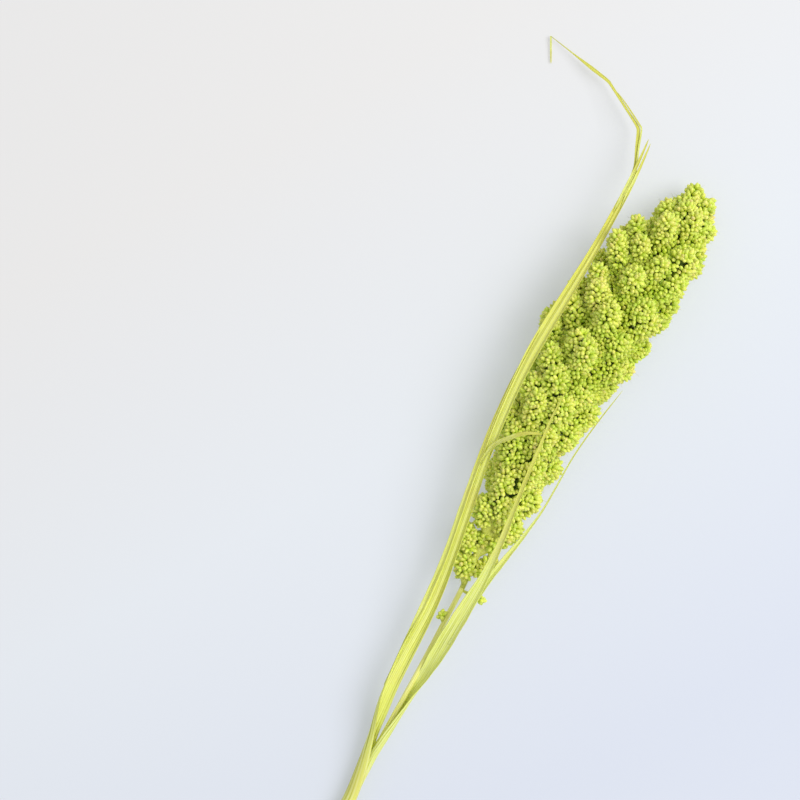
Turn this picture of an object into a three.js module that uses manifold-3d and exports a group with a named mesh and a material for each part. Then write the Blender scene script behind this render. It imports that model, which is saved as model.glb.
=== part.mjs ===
// One dried, dyed foxtail millet head as cut: the lobed seed head on its stalk, with the two
// leaves that still wrap the stalk. It lies on a surface at z = 0.
//
// Millimetres, +Z up, +X from the cut end of the stalk to the tip of the head, +Y to the left.
// While it is built, x = 0 is the foot of the seed head. The finished group is shifted so that
// its origin is the middle of the bottom of its bounding box.

import * as THREE from "three";
import { mergeVertices } from "three/addons/utils/BufferGeometryUtils.js";
import Module from "manifold-3d";

const wasm = await Module();
wasm.setup();

// Seed head
const HEAD_LENGTH = 224;
const HEAD_RADIUS = 27;
const HEAD_FLATNESS = 0.86; // height of the lying head as a share of its width
const FOOT_SLIMNESS = 0.62; // powers that shape the head's outline: slim foot, rounded tip
const TIP_ROUNDING = 5.2;
const TIP_BLUNTNESS = 0.8;
const OUTLINE_GAIN = 1.47; // makes the outline's widest place HEAD_RADIUS
const BOW = 5.5; // sideways swing of the rachis
const BOW_LENGTH = 150; // length of half a swing
const TIP_SWING = 4; // how far the tip bends aside beyond the bow
const FOOT_HEIGHT = 9; // height of the rachis at the foot of the head
const RISE = 6.5; // how much higher the rachis lies in the full part of the head
const RISE_LENGTH = 110;
const TIP_DROOP = 5;
const DROOP_START = 150;

// Lobes, the short branches that carry the seeds
const LOBE_COUNT = 108;
const LOBE_ROOTS_END = 205; // the last lobe grows out of the rachis here
const FOOT_DENSITY = 0.35; // lobes per length at the foot as a share of that at the tip
const LOBE_WIDTH = 13;
const TIP_LOBE_NARROWING = 4;
const FOOT_LEAN = 20; // degrees between a lobe and the rachis at the foot
const LEAN_GAIN = 40; // further lean up the head, which the tip loses again
const LEAN_JITTER = 8;
const TURN_JITTER = 0.5; // radians
const WIDTH_RANGE = [0.9, 1.15]; // shares of the usual width
const LENGTH_RANGE = [0.92, 1.08];
const SHORTEST_LOBE = 9;
const LOBE_END_REACH = 0.42; // how far a lobe's rounded end reaches past its axis, as a share of its width
const TIP_LOBE = { length: 17, width: 8 };
const TIP_LOBE_ASIDE = 0.3; // how far that lobe points aside, against the tip's bend
const LOBE_SHOULDER = 0.7; // a lobe is rounded off from here to its end
const GOLDEN_ANGLE = Math.PI * (3 - Math.sqrt(5));
const LOBE_SEED = 7;
const SEEDS_ROUND = 8; // seed bumps and the dips between them, round one lobe
const SEED_RINGS = [0.1, 0.36, 0.56, 0.73, 0.87, 0.97]; // places of the rings along a lobe
const SEED_RELIEF = 0.1; // how far bumps and dips leave the mean surface, as a share

// Rest on the surface
const PRESS_DEPTH = 5; // lobes lower than this are pressed towards the surface
const REST_CUT = 2; // this much is taken off the pressed lobes, which gives flat spots

// Core of the head and the stalk below it
const CORE_SHARE = 0.64; // radius of the core as a share of the head's
const RACHIS_RADIUS = 1.2;
const STALK_RADIUS = 1.5;
const STALK_LENGTH = 222;
const STALK_SIDES = 8;
const STALK_STEPS = 30;
const STALK_END_HEIGHT = 3.2;
const JOINT_GAP = 0.3;
const NODE_RINGS = [-136, -196]; // swollen joints of the stalk, where the two leaves start
const NODE_SWELLING = 0.6;
const NODE_HALF_LENGTH = 3;

// Leaves
const LEAF_THICKNESS = 0.6;
const LEAF_STEPS_ACROSS = 6;
const SHEATH_GAP = 0.4;
const SHEATH_WRAP = 290; // degrees of the stalk that a sheath covers
const SHEATH_STEPS = 8;

const ACROSS = new THREE.Vector3(0, 1, 0);
const UP = new THREE.Vector3(0, 0, 1);

const stalkGreen = new THREE.MeshStandardMaterial({ color: 0xcdd06a, roughness: 0.75, metalness: 0 });
const leafYellow = new THREE.MeshStandardMaterial({ color: 0xd9e074, roughness: 0.7, metalness: 0 });
const seedGreen = new THREE.MeshStandardMaterial({ color: 0xb7c446, roughness: 0.6, metalness: 0 });

// Repeatable draws between 0 and 1 from a 32-bit seed
function drawsFrom(seed) {
  let state = seed >>> 0;
  return () => {
    state = (state + 0x6d2b79f5) >>> 0;
    let t = state;
    t = Math.imul(t ^ (t >>> 15), t | 1);
    t ^= t + Math.imul(t ^ (t >>> 7), t | 61);
    return ((t ^ (t >>> 14)) >>> 0) / 4294967296;
  };
}

function between([low, high], share) {
  return low + (high - low) * share;
}

// Half the head's width at a distance from its foot: slim at the foot, fullest in the upper half
function headRadius(x) {
  const share = THREE.MathUtils.clamp(x / HEAD_LENGTH, 0, 1);
  return HEAD_RADIUS * OUTLINE_GAIN * share ** FOOT_SLIMNESS * (1 - share ** TIP_ROUNDING) ** TIP_BLUNTNESS;
}

// Centre line of the head
function rachis(x) {
  const rise = RISE * Math.sin((Math.PI / 2) * Math.min(x / RISE_LENGTH, 1));
  const past = Math.max(0, (x - DROOP_START) / (HEAD_LENGTH - DROOP_START));
  const swing = BOW * Math.sin((Math.PI * x) / BOW_LENGTH) - TIP_SWING * past ** 1.5;
  return new THREE.Vector3(x, swing, FOOT_HEIGHT + rise - TIP_DROOP * past ** 2);
}

// Height of a point once the surface has pressed it up: the lowest end up just below the surface
function pressed(height) {
  const depth = PRESS_DEPTH + REST_CUT;
  return height > PRESS_DEPTH ? height : depth * Math.exp((height - PRESS_DEPTH) / depth) - REST_CUT;
}

// Closed mesh through rings of points of equal count, with a point at each end
function loft(rings, start, end, checkered = false) {
  const count = rings[0].length;
  const points = [start, ...rings.flat(), end];
  const index = [];
  const at = (ring, i) => 1 + ring * count + (i % count);
  for (let i = 0; i < count; i++) {
    index.push(0, at(0, i + 1), at(0, i));
    index.push(points.length - 1, at(rings.length - 1, i), at(rings.length - 1, i + 1));
  }
  for (let ring = 0; ring + 1 < rings.length; ring++) {
    for (let i = 0; i < count; i++) {
      const [a, b, c, d] = [at(ring, i), at(ring, i + 1), at(ring + 1, i + 1), at(ring + 1, i)];
      // In a checkered mesh the diagonal joins the two dips, so each bump is a pyramid
      if (checkered && (ring + i) % 2 === 0) index.push(a, b, d, b, c, d);
      else index.push(a, b, c, a, c, d);
    }
  }
  return meshOf(points, index);
}

function meshOf(points, index) {
  return new THREE.BufferGeometry().setFromPoints(points).setIndex(index);
}

function solidOf(geometry) {
  const bare = geometry.clone();
  bare.deleteAttribute("normal");
  bare.deleteAttribute("uv");
  const merged = mergeVertices(bare, 1e-4);
  return new wasm.Manifold(
    new wasm.Mesh({
      numProp: 3,
      vertProperties: new Float32Array(merged.attributes.position.array),
      triVerts: new Uint32Array(merged.index.array),
    }),
  );
}

function geometryOf(solid) {
  const mesh = solid.getMesh();
  return new THREE.BufferGeometry()
    .setAttribute("position", new THREE.BufferAttribute(mesh.vertProperties, 3))
    .setIndex(new THREE.BufferAttribute(mesh.triVerts, 1));
}

// Length at which a lobe that leaves the rachis at x meets the head's outline
function lobeReach(x, lean, width) {
  let [low, high] = [0, 2 * HEAD_RADIUS];
  for (let i = 0; i < 30; i++) {
    const length = (low + high) / 2;
    const room = headRadius(x + length * Math.cos(lean)) - LOBE_END_REACH * width - length * Math.sin(lean);
    if (room > 0) low = length;
    else high = length;
  }
  return low;
}

// Lobes in a golden-angle spiral up the rachis: few, long and close to the rachis at the foot,
// many, short and more spread towards the tip
function lobes() {
  const draw = drawsFrom(LOBE_SEED);
  const all = [];
  for (let i = 0; i < LOBE_COUNT; i++) {
    const share = (i + 0.5) / LOBE_COUNT;
    const spread = (1 - FOOT_DENSITY) / 2;
    const along =
      (-FOOT_DENSITY + Math.sqrt(FOOT_DENSITY ** 2 + 4 * spread * (FOOT_DENSITY + spread) * share)) / (2 * spread);
    const x = LOBE_ROOTS_END * along;
    const turn = i * GOLDEN_ANGLE + TURN_JITTER * (draw() - 0.5);
    const width = (LOBE_WIDTH - TIP_LOBE_NARROWING * along ** 3) * between(WIDTH_RANGE, draw());
    const usualLean = FOOT_LEAN + LEAN_GAIN * along * (1 - along ** 8);
    const lean = THREE.MathUtils.degToRad(usualLean + LEAN_JITTER * (draw() - 0.5));
    const length = Math.max(SHORTEST_LOBE, lobeReach(x, lean, width) * between(LENGTH_RANGE, draw()));
    const out = new THREE.Vector3(0, Math.cos(turn), HEAD_FLATNESS * Math.sin(turn));
    const direction = new THREE.Vector3(Math.cos(lean), 0, 0).addScaledVector(out, Math.sin(lean));
    all.push({ root: rachis(x), direction, length, width, turn });
  }
  // One lobe closes the tip
  const ahead = new THREE.Vector3(1, TIP_LOBE_ASIDE, 0);
  all.push({ root: rachis(LOBE_ROOTS_END), direction: ahead, turn: 0, ...TIP_LOBE });
  return all;
}

// Girth of a lobe along its length: a thin root, a full body and a rounded end
function lobeGirth(share) {
  if (share < LOBE_SHOULDER) return 0.35 + 0.65 * Math.sin(((Math.PI / 2) * share) / LOBE_SHOULDER);
  return Math.sqrt(1 - ((share - LOBE_SHOULDER) / (1 - LOBE_SHOULDER)) ** 2);
}

function lobeGeometry({ root, direction, length, width, turn }) {
  const axis = direction.clone().normalize();
  const side = new THREE.Vector3().crossVectors(UP, axis).normalize();
  const top = new THREE.Vector3().crossVectors(axis, side);
  const press = (point) => point.setZ(pressed(point.z));
  const rings = SEED_RINGS.map((share, ring) => {
    const points = [];
    for (let i = 0; i < SEEDS_ROUND; i++) {
      const relief = 1 + ((ring + i) % 2 === 0 ? SEED_RELIEF : -SEED_RELIEF);
      const girth = (width / 2) * lobeGirth(share) * relief;
      const angle = turn + (2 * Math.PI * i) / SEEDS_ROUND;
      const point = root.clone().addScaledVector(axis, length * share);
      point.addScaledVector(side, girth * Math.cos(angle)).addScaledVector(top, girth * Math.sin(angle));
      points.push(press(point));
    }
    return points;
  });
  const start = press(root.clone());
  const end = press(root.clone().addScaledVector(axis, length * (1 + SEED_RELIEF / 2)));
  return loft(rings, start, end, true);
}

// Rachis and the dense middle of the head, which the lobes stand out of
function coreGeometry() {
  const stations = [JOINT_GAP, 12, 30, 50, 75, 100, 125, 150, 175, 195, 208, 216];
  const rings = stations.map((x) => {
    const girth = Math.max(RACHIS_RADIUS, CORE_SHARE * headRadius(x) * Math.min(1, x / 60));
    const centre = rachis(x);
    return Array.from({ length: STALK_SIDES }, (_, i) => {
      const angle = (2 * Math.PI * i) / STALK_SIDES;
      const out = new THREE.Vector3(0, Math.cos(angle), HEAD_FLATNESS * Math.sin(angle));
      return centre.clone().addScaledVector(out, girth);
    });
  });
  return loft(rings, rachis(stations[0]), rachis(stations.at(-1) + 2));
}

function headGeometry() {
  let solid = solidOf(coreGeometry());
  for (const lobe of lobes()) solid = solid.add(solidOf(lobeGeometry(lobe)));
  const below = new THREE.BoxGeometry(3 * HEAD_LENGTH, HEAD_LENGTH, 2 * PRESS_DEPTH).translate(0, 0, -PRESS_DEPTH);
  return geometryOf(solid.subtract(solidOf(below)));
}

// Centre line of the stalk, from the cut end on the surface to the foot of the head
const stalkLine = new THREE.CatmullRomCurve3([
  new THREE.Vector3(-STALK_LENGTH, -7, STALK_END_HEIGHT),
  new THREE.Vector3(-160, -4.5, 4.7),
  new THREE.Vector3(-90, -2, 6.5),
  new THREE.Vector3(-40, -1.2, 7.9),
  new THREE.Vector3(0, 0, FOOT_HEIGHT),
]);

// Point of the stalk's centre line at a given x
function stalkAt(x) {
  let [low, high] = [0, 1];
  for (let i = 0; i < 40; i++) {
    const middle = (low + high) / 2;
    if (stalkLine.getPoint(middle).x < x) low = middle;
    else high = middle;
  }
  return stalkLine.getPoint(low);
}

function stalkRadius(x) {
  const taper = THREE.MathUtils.mapLinear(x, -STALK_LENGTH, 0, STALK_RADIUS, RACHIS_RADIUS);
  const swelling = NODE_RINGS.map((node) => Math.exp(-(((x - node) / NODE_HALF_LENGTH) ** 2)));
  return taper + NODE_SWELLING * Math.max(...swelling);
}

function stalkGeometry() {
  const even = Array.from({ length: STALK_STEPS + 1 }, (_, i) => -STALK_LENGTH * (1 - i / STALK_STEPS));
  const nodes = NODE_RINGS.flatMap((node) => [-1, -0.5, 0, 0.5, 1].map((k) => node + 2 * k * NODE_HALF_LENGTH));
  const clear = even.filter((x) => nodes.every((node) => Math.abs(x - node) > 2));
  const stations = [...clear, ...nodes].sort((a, b) => a - b);
  const rings = stations.map((x) => {
    const centre = stalkAt(x);
    const radius = stalkRadius(x);
    return Array.from({ length: STALK_SIDES }, (_, i) => {
      const angle = (2 * Math.PI * (i + 0.5)) / STALK_SIDES;
      return centre.clone().add(new THREE.Vector3(0, radius * Math.cos(angle), radius * Math.sin(angle)));
    });
  });
  return loft(rings, stalkAt(stations[0]), stalkAt(stations.at(-1)));
}

// A thin blade through stations of { point, face, width, wrap }: face is the way its upper side
// looks, and wrap the angle in degrees that its section is rolled up to, towards that side
function bladeGeometry(stations, steps) {
  const line = new THREE.CatmullRomCurve3(stations.map((station) => station.point));
  const valueAt = (place, key) => {
    const low = Math.min(Math.floor(place), stations.length - 2);
    const blend = place - low;
    const [a, b] = [stations[low][key], stations[low + 1][key]];
    return a.isVector3 ? a.clone().lerp(b, blend) : a + (b - a) * blend;
  };
  const upper = [];
  const lower = [];
  for (let j = 0; j <= steps; j++) {
    const share = j / steps;
    const place = share * (stations.length - 1);
    const centre = line.getPoint(share);
    const tangent = line.getTangent(share);
    const face = valueAt(place, "face");
    face.addScaledVector(tangent, -face.dot(tangent)).normalize();
    const cross = new THREE.Vector3().crossVectors(face, tangent);
    const width = valueAt(place, "width");
    const wrap = Math.max(0.02, THREE.MathUtils.degToRad(valueAt(place, "wrap")));
    const radius = width / wrap;
    for (let i = 0; i <= LEAF_STEPS_ACROSS; i++) {
      const angle = wrap * (i / LEAF_STEPS_ACROSS - 0.5);
      const normal = face.clone().multiplyScalar(Math.cos(angle)).addScaledVector(cross, -Math.sin(angle));
      const middle = centre.clone().addScaledVector(face, radius * (1 - Math.cos(angle)));
      middle.addScaledVector(cross, radius * Math.sin(angle));
      upper.push(middle.clone().addScaledVector(normal, LEAF_THICKNESS / 2));
      lower.push(middle.clone().addScaledVector(normal, -LEAF_THICKNESS / 2));
    }
  }
  return meshOf([...upper, ...lower], slabIndex(steps, LEAF_STEPS_ACROSS));
}

// Triangles of a slab of two like grids, closed round its rim
function slabIndex(steps, across) {
  const index = [];
  const row = across + 1;
  const under = row * (steps + 1);
  const quad = (a, b, c, d) => index.push(a, b, c, a, c, d);
  for (let j = 0; j < steps; j++) {
    for (let i = 0; i < across; i++) {
      const [a, b, c, d] = [j * row + i, j * row + i + 1, (j + 1) * row + i + 1, (j + 1) * row + i];
      index.push(a, c, b, a, d, c);
      index.push(under + a, under + b, under + c, under + a, under + c, under + d);
    }
    const [left, leftNext] = [j * row, (j + 1) * row];
    const [right, rightNext] = [left + across, leftNext + across];
    quad(left, under + left, under + leftNext, leftNext);
    quad(right, rightNext, under + rightNext, under + right);
  }
  const last = steps * row;
  for (let i = 0; i < across; i++) {
    quad(i, i + 1, under + i + 1, under + i);
    quad(last + i, under + last + i, under + last + i + 1, last + i + 1);
  }
  return index;
}

// Stations of the sheath, the foot of a leaf that wraps the stalk: ribSide points from the stalk
// to the leaf's midrib
function sheath(from, to, innerRadius, ribSide) {
  return Array.from({ length: SHEATH_STEPS }, (_, i) => {
    const x = from + ((to - from) * i) / (SHEATH_STEPS - 1);
    const radius = innerRadius + LEAF_THICKNESS / 2;
    return {
      point: stalkAt(x).addScaledVector(ribSide, radius),
      face: ribSide.clone().negate(),
      width: THREE.MathUtils.degToRad(SHEATH_WRAP) * radius,
      wrap: SHEATH_WRAP,
    };
  });
}

function station(x, y, z, width, wrap, face) {
  return { point: new THREE.Vector3(x, y, z), width, wrap, face: new THREE.Vector3(...face) };
}

const flagSheathRadius = STALK_RADIUS + SHEATH_GAP;
const lowerSheathRadius = flagSheathRadius + LEAF_THICKNESS + 1.3 * SHEATH_GAP;

// Uppermost leaf: its blade leaves the stalk on the right, crosses the foot of the head and
// tapers to a thread on top of it. A torn strip of it runs along the head's right side.
function flagLeafGeometry() {
  const blade = [
    ...sheath(NODE_RINGS[0] + NODE_HALF_LENGTH, -90, flagSheathRadius, ACROSS.clone().negate()),
    station(-78, -4.7, 7.0, 10.4, 225, [0, 1, 0.05]),
    station(-64, -5.1, 7.7, 9.8, 160, [0, 0.98, 0.15]),
    station(-53, -5.4, 8.2, 9.2, 120, [0, 0.93, 0.35]),
    station(-46, -6.2, 9.2, 8.6, 100, [0, 0.86, 0.5]),
    station(-38, -6.6, 11.2, 8.4, 95, [0, 0.7, 0.7]),
    station(-28, -5.9, 13.0, 9.0, 88, [0, 0.45, 0.9]),
    station(-16, -5.6, 15.3, 8.8, 86, [0, 0.2, 1]),
    station(-6, -5.6, 16.6, 8.4, 95, [0, 0.1, 1]),
    station(11, -5.6, 19.0, 6.6, 110, [0, -0.1, 1]),
    station(27, -4.6, 22.4, 5.0, 120, [0, 0.1, 1]),
    station(42, -2.6, 25.6, 3.8, 110, [0, 0.3, 1]),
    station(60, 0.2, 29.0, 3.0, 90, [0, 0.2, 1]),
    station(76, 2.2, 31.8, 2.4, 70, [0, -0.2, 1]),
    station(92, 4.2, 34.2, 1.9, 60, [0, 0.1, 1]),
    station(106, 4.6, 35.8, 1.2, 40, [0, 0.2, 1]),
  ];
  const strip = [
    station(-26, -7.4, 14.4, 1.6, 30, [0, 0.5, 0.9]),
    station(-12, -8.6, 15.0, 2.6, 30, [0, 0.5, 0.9]),
    station(4, -9.6, 14.2, 3.4, 60, [0, 0.3, 1]),
    station(20, -11.2, 13.4, 3.8, 60, [0, 0.3, 1]),
    station(34, -13.0, 12.8, 2.4, 50, [0, 0.2, 1]),
    station(50, -15.2, 12.4, 1.4, 40, [0, 0.3, 1]),
    station(68, -17.0, 12.2, 1.2, 30, [0, 0.3, 1]),
    station(88, -18.6, 12.4, 1.1, 30, [0, 0.3, 1]),
    station(106, -20.8, 13.0, 1.0, 20, [0, 0.3, 1]),
    station(118, -22.8, 14.0, 0.9, 20, [0, 0.3, 1]),
  ];
  return geometryOf(solidOf(bladeGeometry(blade, 40)).add(solidOf(bladeGeometry(strip, 20))));
}

// Lower leaf: its blade leaves the stalk on the left, lies along the head's left flank and ends
// in a thread that swings out past the tip of the head and comes down to the surface
function longLeafGeometry() {
  const blade = [
    ...sheath(NODE_RINGS[1] + NODE_HALF_LENGTH, -112, lowerSheathRadius, ACROSS),
    station(-98, 2.4, 6.2, 15.0, 230, [0, -1, 0.05]),
    station(-81, 5.0, 7.6, 12.8, 160, [0, -0.98, 0.2]),
    station(-62, 7.6, 10.4, 10.4, 112, [0, -0.7, 0.7]),
    station(-40, 8.6, 12.6, 8.6, 90, [0, -0.3, 0.95]),
    station(-16, 9.0, 15.0, 7.6, 100, [0, 0, 1]),
    station(8, 12.0, 17.6, 7.0, 110, [0, 0.3, 0.95]),
    station(34, 16.8, 19.6, 6.6, 100, [0, 0.5, 0.9]),
    station(60, 21.6, 22.6, 6.2, 90, [0, 0.6, 0.8]),
    station(86, 25.0, 25.2, 5.8, 80, [0, 0.6, 0.8]),
    station(112, 26.6, 27.2, 5.4, 70, [0, 0.6, 0.8]),
    station(138, 26.0, 28.6, 5.2, 60, [0, 0.6, 0.8]),
    station(164, 25.0, 27.2, 5.0, 60, [0, 0.5, 0.9]),
    station(188, 24.6, 21.8, 4.8, 70, [0, 0.3, 0.95]),
    station(206, 25.2, 18.0, 4.0, 80, [0, 0, 1]),
    station(222, 28.6, 14.4, 2.6, 70, [0.2, 0, 1]),
    station(236, 39.0, 10.0, 2.0, 60, [0.2, 0, 1]),
    station(245, 54.0, 6.6, 1.6, 50, [0.2, 0, 1]),
    station(248.5, 70.0, 4.2, 1.4, 40, [0.2, 0, 1]),
    station(250.5, 92.0, 1.4, 1.1, 20, [0, 0, 1]),
  ];
  return bladeGeometry(blade, 64);
}

function named(name, geometry, material) {
  const mesh = new THREE.Mesh(geometry, material);
  mesh.name = name;
  return mesh;
}

const millet = new THREE.Group();
millet.add(named("head", headGeometry(), seedGreen));
millet.add(named("stalk", stalkGeometry(), stalkGreen));
millet.add(named("flag_leaf", flagLeafGeometry(), leafYellow));
millet.add(named("long_leaf", longLeafGeometry(), leafYellow));

const box = new THREE.Box3().setFromObject(millet, true);
const middle = box.getCenter(new THREE.Vector3());
millet.position.set(-middle.x, -middle.y, -box.min.z);

export default millet;
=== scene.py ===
"""Looks of one dried, dyed foxtail millet head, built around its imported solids.

The head gets its branches, its true-size seeds and its bristles, the stalk its ribs, joints and cut
end, and the leaves their thin veined blades. Shapes are worked out in millimetres from the foot of
the seed head, as the solids are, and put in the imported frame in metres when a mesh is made.
"""

import logging
import math
from contextlib import contextmanager
from dataclasses import dataclass, replace
from enum import Enum
from typing import Any, Callable, Iterator, Sequence

import bpy
import numpy as np
from mathutils import Matrix, Vector

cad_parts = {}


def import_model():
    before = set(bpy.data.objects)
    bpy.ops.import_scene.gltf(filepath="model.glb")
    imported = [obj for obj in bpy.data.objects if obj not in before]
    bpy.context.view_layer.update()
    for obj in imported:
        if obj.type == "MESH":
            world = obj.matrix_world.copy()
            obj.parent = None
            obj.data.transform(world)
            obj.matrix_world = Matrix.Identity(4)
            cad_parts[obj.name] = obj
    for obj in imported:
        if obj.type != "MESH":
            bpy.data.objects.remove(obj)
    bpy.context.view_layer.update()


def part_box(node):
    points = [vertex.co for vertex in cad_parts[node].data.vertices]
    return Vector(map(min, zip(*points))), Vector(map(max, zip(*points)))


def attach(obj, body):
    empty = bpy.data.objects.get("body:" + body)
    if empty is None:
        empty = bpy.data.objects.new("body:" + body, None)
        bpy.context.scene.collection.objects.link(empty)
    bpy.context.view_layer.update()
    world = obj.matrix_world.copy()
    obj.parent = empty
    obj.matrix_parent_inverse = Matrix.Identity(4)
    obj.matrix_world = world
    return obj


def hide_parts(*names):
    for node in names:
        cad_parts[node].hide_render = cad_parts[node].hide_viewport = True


LOG = logging.getLogger("millet")
MM = 0.001
BODY = "root"
GOLDEN_ANGLE = math.pi * (3.0 - math.sqrt(5.0))
ORIGIN = (0.0, 0.0, 0.0)


class Slot(Enum):
    """Material slots of the record, one for each kind of new piece."""

    SEEDS = "seeds"
    STALK = "stalk"
    LEAF = "leaf"


def linear(colour: str) -> tuple[float, float, float, float]:
    """Turn an sRGB hex colour into linear RGBA.

    Args:
        colour: Colour such as "c7d14f".

    Returns:
        Linear red, green, blue and an alpha of 1.
    """
    parts = [int(colour[i:i + 2], 16) / 255.0 for i in (0, 2, 4)]
    channels = [p / 12.92 if p <= 0.04045 else ((p + 0.055) / 1.055) ** 2.4 for p in parts]
    return (channels[0], channels[1], channels[2], 1.0)


def add_node(tree: bpy.types.NodeTree, kind: str, inputs: dict[Any, Any] | None = None,
             **settings: Any) -> bpy.types.Node:
    """Add a shader node with its settings, values and links.

    Args:
        tree: Node tree that gets the node.
        kind: Blender's name for the node type.
        inputs: Input name or index to a value, or to the output socket that feeds it.
        **settings: Properties of the node.

    Returns:
        The new node.
    """
    node = tree.nodes.new(kind)
    for name, value in settings.items():
        setattr(node, name, value)
    for name, value in (inputs or {}).items():
        if isinstance(value, bpy.types.NodeSocket):
            tree.links.new(value, node.inputs[name])
        else:
            node.inputs[name].default_value = value
    return node


def blank_material(name: str) -> tuple[bpy.types.Material, bpy.types.NodeTree]:
    """Make an empty node material.

    Args:
        name: Name of the real material.

    Returns:
        The material and its node tree.
    """
    material = bpy.data.materials.new(name)
    material.use_nodes = True
    material.node_tree.nodes.clear()
    return material, material.node_tree


def fill_ramp(ramp: bpy.types.Node, stops: Sequence[tuple[float, str]]) -> None:
    """Give a colour ramp its stops.

    Args:
        ramp: Colour ramp node.
        stops: Places from 0 to 1 and their sRGB hex colours.
    """
    elements = ramp.color_ramp.elements
    while len(elements) < len(stops):
        elements.new(1.0)
    for element, (place, colour) in zip(elements, stops):
        element.position = place
        element.color = linear(colour)


@dataclass(frozen=True)
class MilletHull:
    """Dyed millet hull: a smooth, faintly waxy skin, so each seed has a soft highlight."""

    name: str = "dyed_millet_hull"
    tint: str = "hull_tint_with_painted_shade"
    roughness: float = 0.55
    ior: float = 1.45
    mottle_mm: float = 1.1
    mottle_detail: float = 2.0
    mottle_span: tuple[float, float] = (0.3, 0.7)
    mottle_shades: tuple[float, float] = (0.86, 1.08)
    glow: float = 0.3
    glow_mm: float = 0.9
    glow_reach: tuple[float, float, float] = (1.0, 0.8, 0.3)

    def material(self) -> bpy.types.Material:
        """Build the material, whose colour is each seed's tint, with its painted shade and painted highlight,
        and a faint mottle.

        Returns:
            The material.
        """
        material, tree = blank_material(self.name)
        place = add_node(tree, "ShaderNodeTexCoord")
        # The tint holds each seed's own colour with its painted shade and painted highlight.
        tint = add_node(tree, "ShaderNodeAttribute", attribute_name=self.tint)
        mottle = add_node(tree, "ShaderNodeTexNoise", {
            "Vector": place.outputs["Object"], "Scale": 1.0 / (self.mottle_mm * MM),
            "Detail": self.mottle_detail})
        shade = add_node(tree, "ShaderNodeMapRange", {
            "Value": mottle.outputs["Fac"], "From Min": self.mottle_span[0], "From Max": self.mottle_span[1],
            "To Min": self.mottle_shades[0], "To Max": self.mottle_shades[1]})
        colour = add_node(tree, "ShaderNodeVectorMath", {
            0: tint.outputs["Color"], 1: shade.outputs["Result"]}, operation="MULTIPLY")
        skin = add_node(tree, "ShaderNodeBsdfPrincipled", {
            "Base Color": colour.outputs["Vector"], "Roughness": self.roughness, "IOR": self.ior,
            "Subsurface Weight": self.glow, "Subsurface Radius": self.glow_reach,
            "Subsurface Scale": self.glow_mm * MM})
        add_node(tree, "ShaderNodeOutputMaterial", {"Surface": skin.outputs["BSDF"]})
        return material


@dataclass(frozen=True)
class PatchyTissue:
    """Dry plant tissue whose tone wanders softly between two colours."""

    name: str
    first: str
    second: str
    roughness: float
    patch_mm: float
    patch_detail: float
    patch_span: tuple[float, float]

    def material(self) -> bpy.types.Material:
        """Build the material, with soft patches of the second colour in the first.

        Returns:
            The material.
        """
        material, tree = blank_material(self.name)
        place = add_node(tree, "ShaderNodeTexCoord")
        patches = add_node(tree, "ShaderNodeTexNoise", {
            "Vector": place.outputs["Object"], "Scale": 1.0 / (self.patch_mm * MM),
            "Detail": self.patch_detail})
        ramp = add_node(tree, "ShaderNodeValToRGB", {"Fac": patches.outputs["Fac"]})
        fill_ramp(ramp, list(zip(self.patch_span, (self.first, self.second))))
        skin = add_node(tree, "ShaderNodeBsdfPrincipled", {
            "Base Color": ramp.outputs["Color"], "Roughness": self.roughness})
        add_node(tree, "ShaderNodeOutputMaterial", {"Surface": skin.outputs["BSDF"]})
        return material


@dataclass(frozen=True)
class InnerBranch(PatchyTissue):
    """Dyed branch tissue inside the head: matt, and painted dark as the shade that falls between the seeds.
    """

    name: str = "dyed_branch_tissue_painted_shade"
    # Painted shade: the branches' green is darkened to the shade between the seeds.
    first: str = "3f5210"
    second: str = "6f8420"
    roughness: float = 0.85
    patch_mm: float = 4.0
    patch_detail: float = 4.0
    patch_span: tuple[float, float] = (0.35, 0.7)


@dataclass(frozen=True)
class Bristle(PatchyTissue):
    """Dry bristle: a stiff straw-like hair, paler than the seeds, so it shows as a fine fuzz."""

    name: str = "dry_grass_bristle"
    first: str = "c9cf6a"
    second: str = "e3e2a4"
    roughness: float = 0.6
    patch_mm: float = 9.0
    patch_detail: float = 2.0
    patch_span: tuple[float, float] = (0.3, 0.7)


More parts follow.
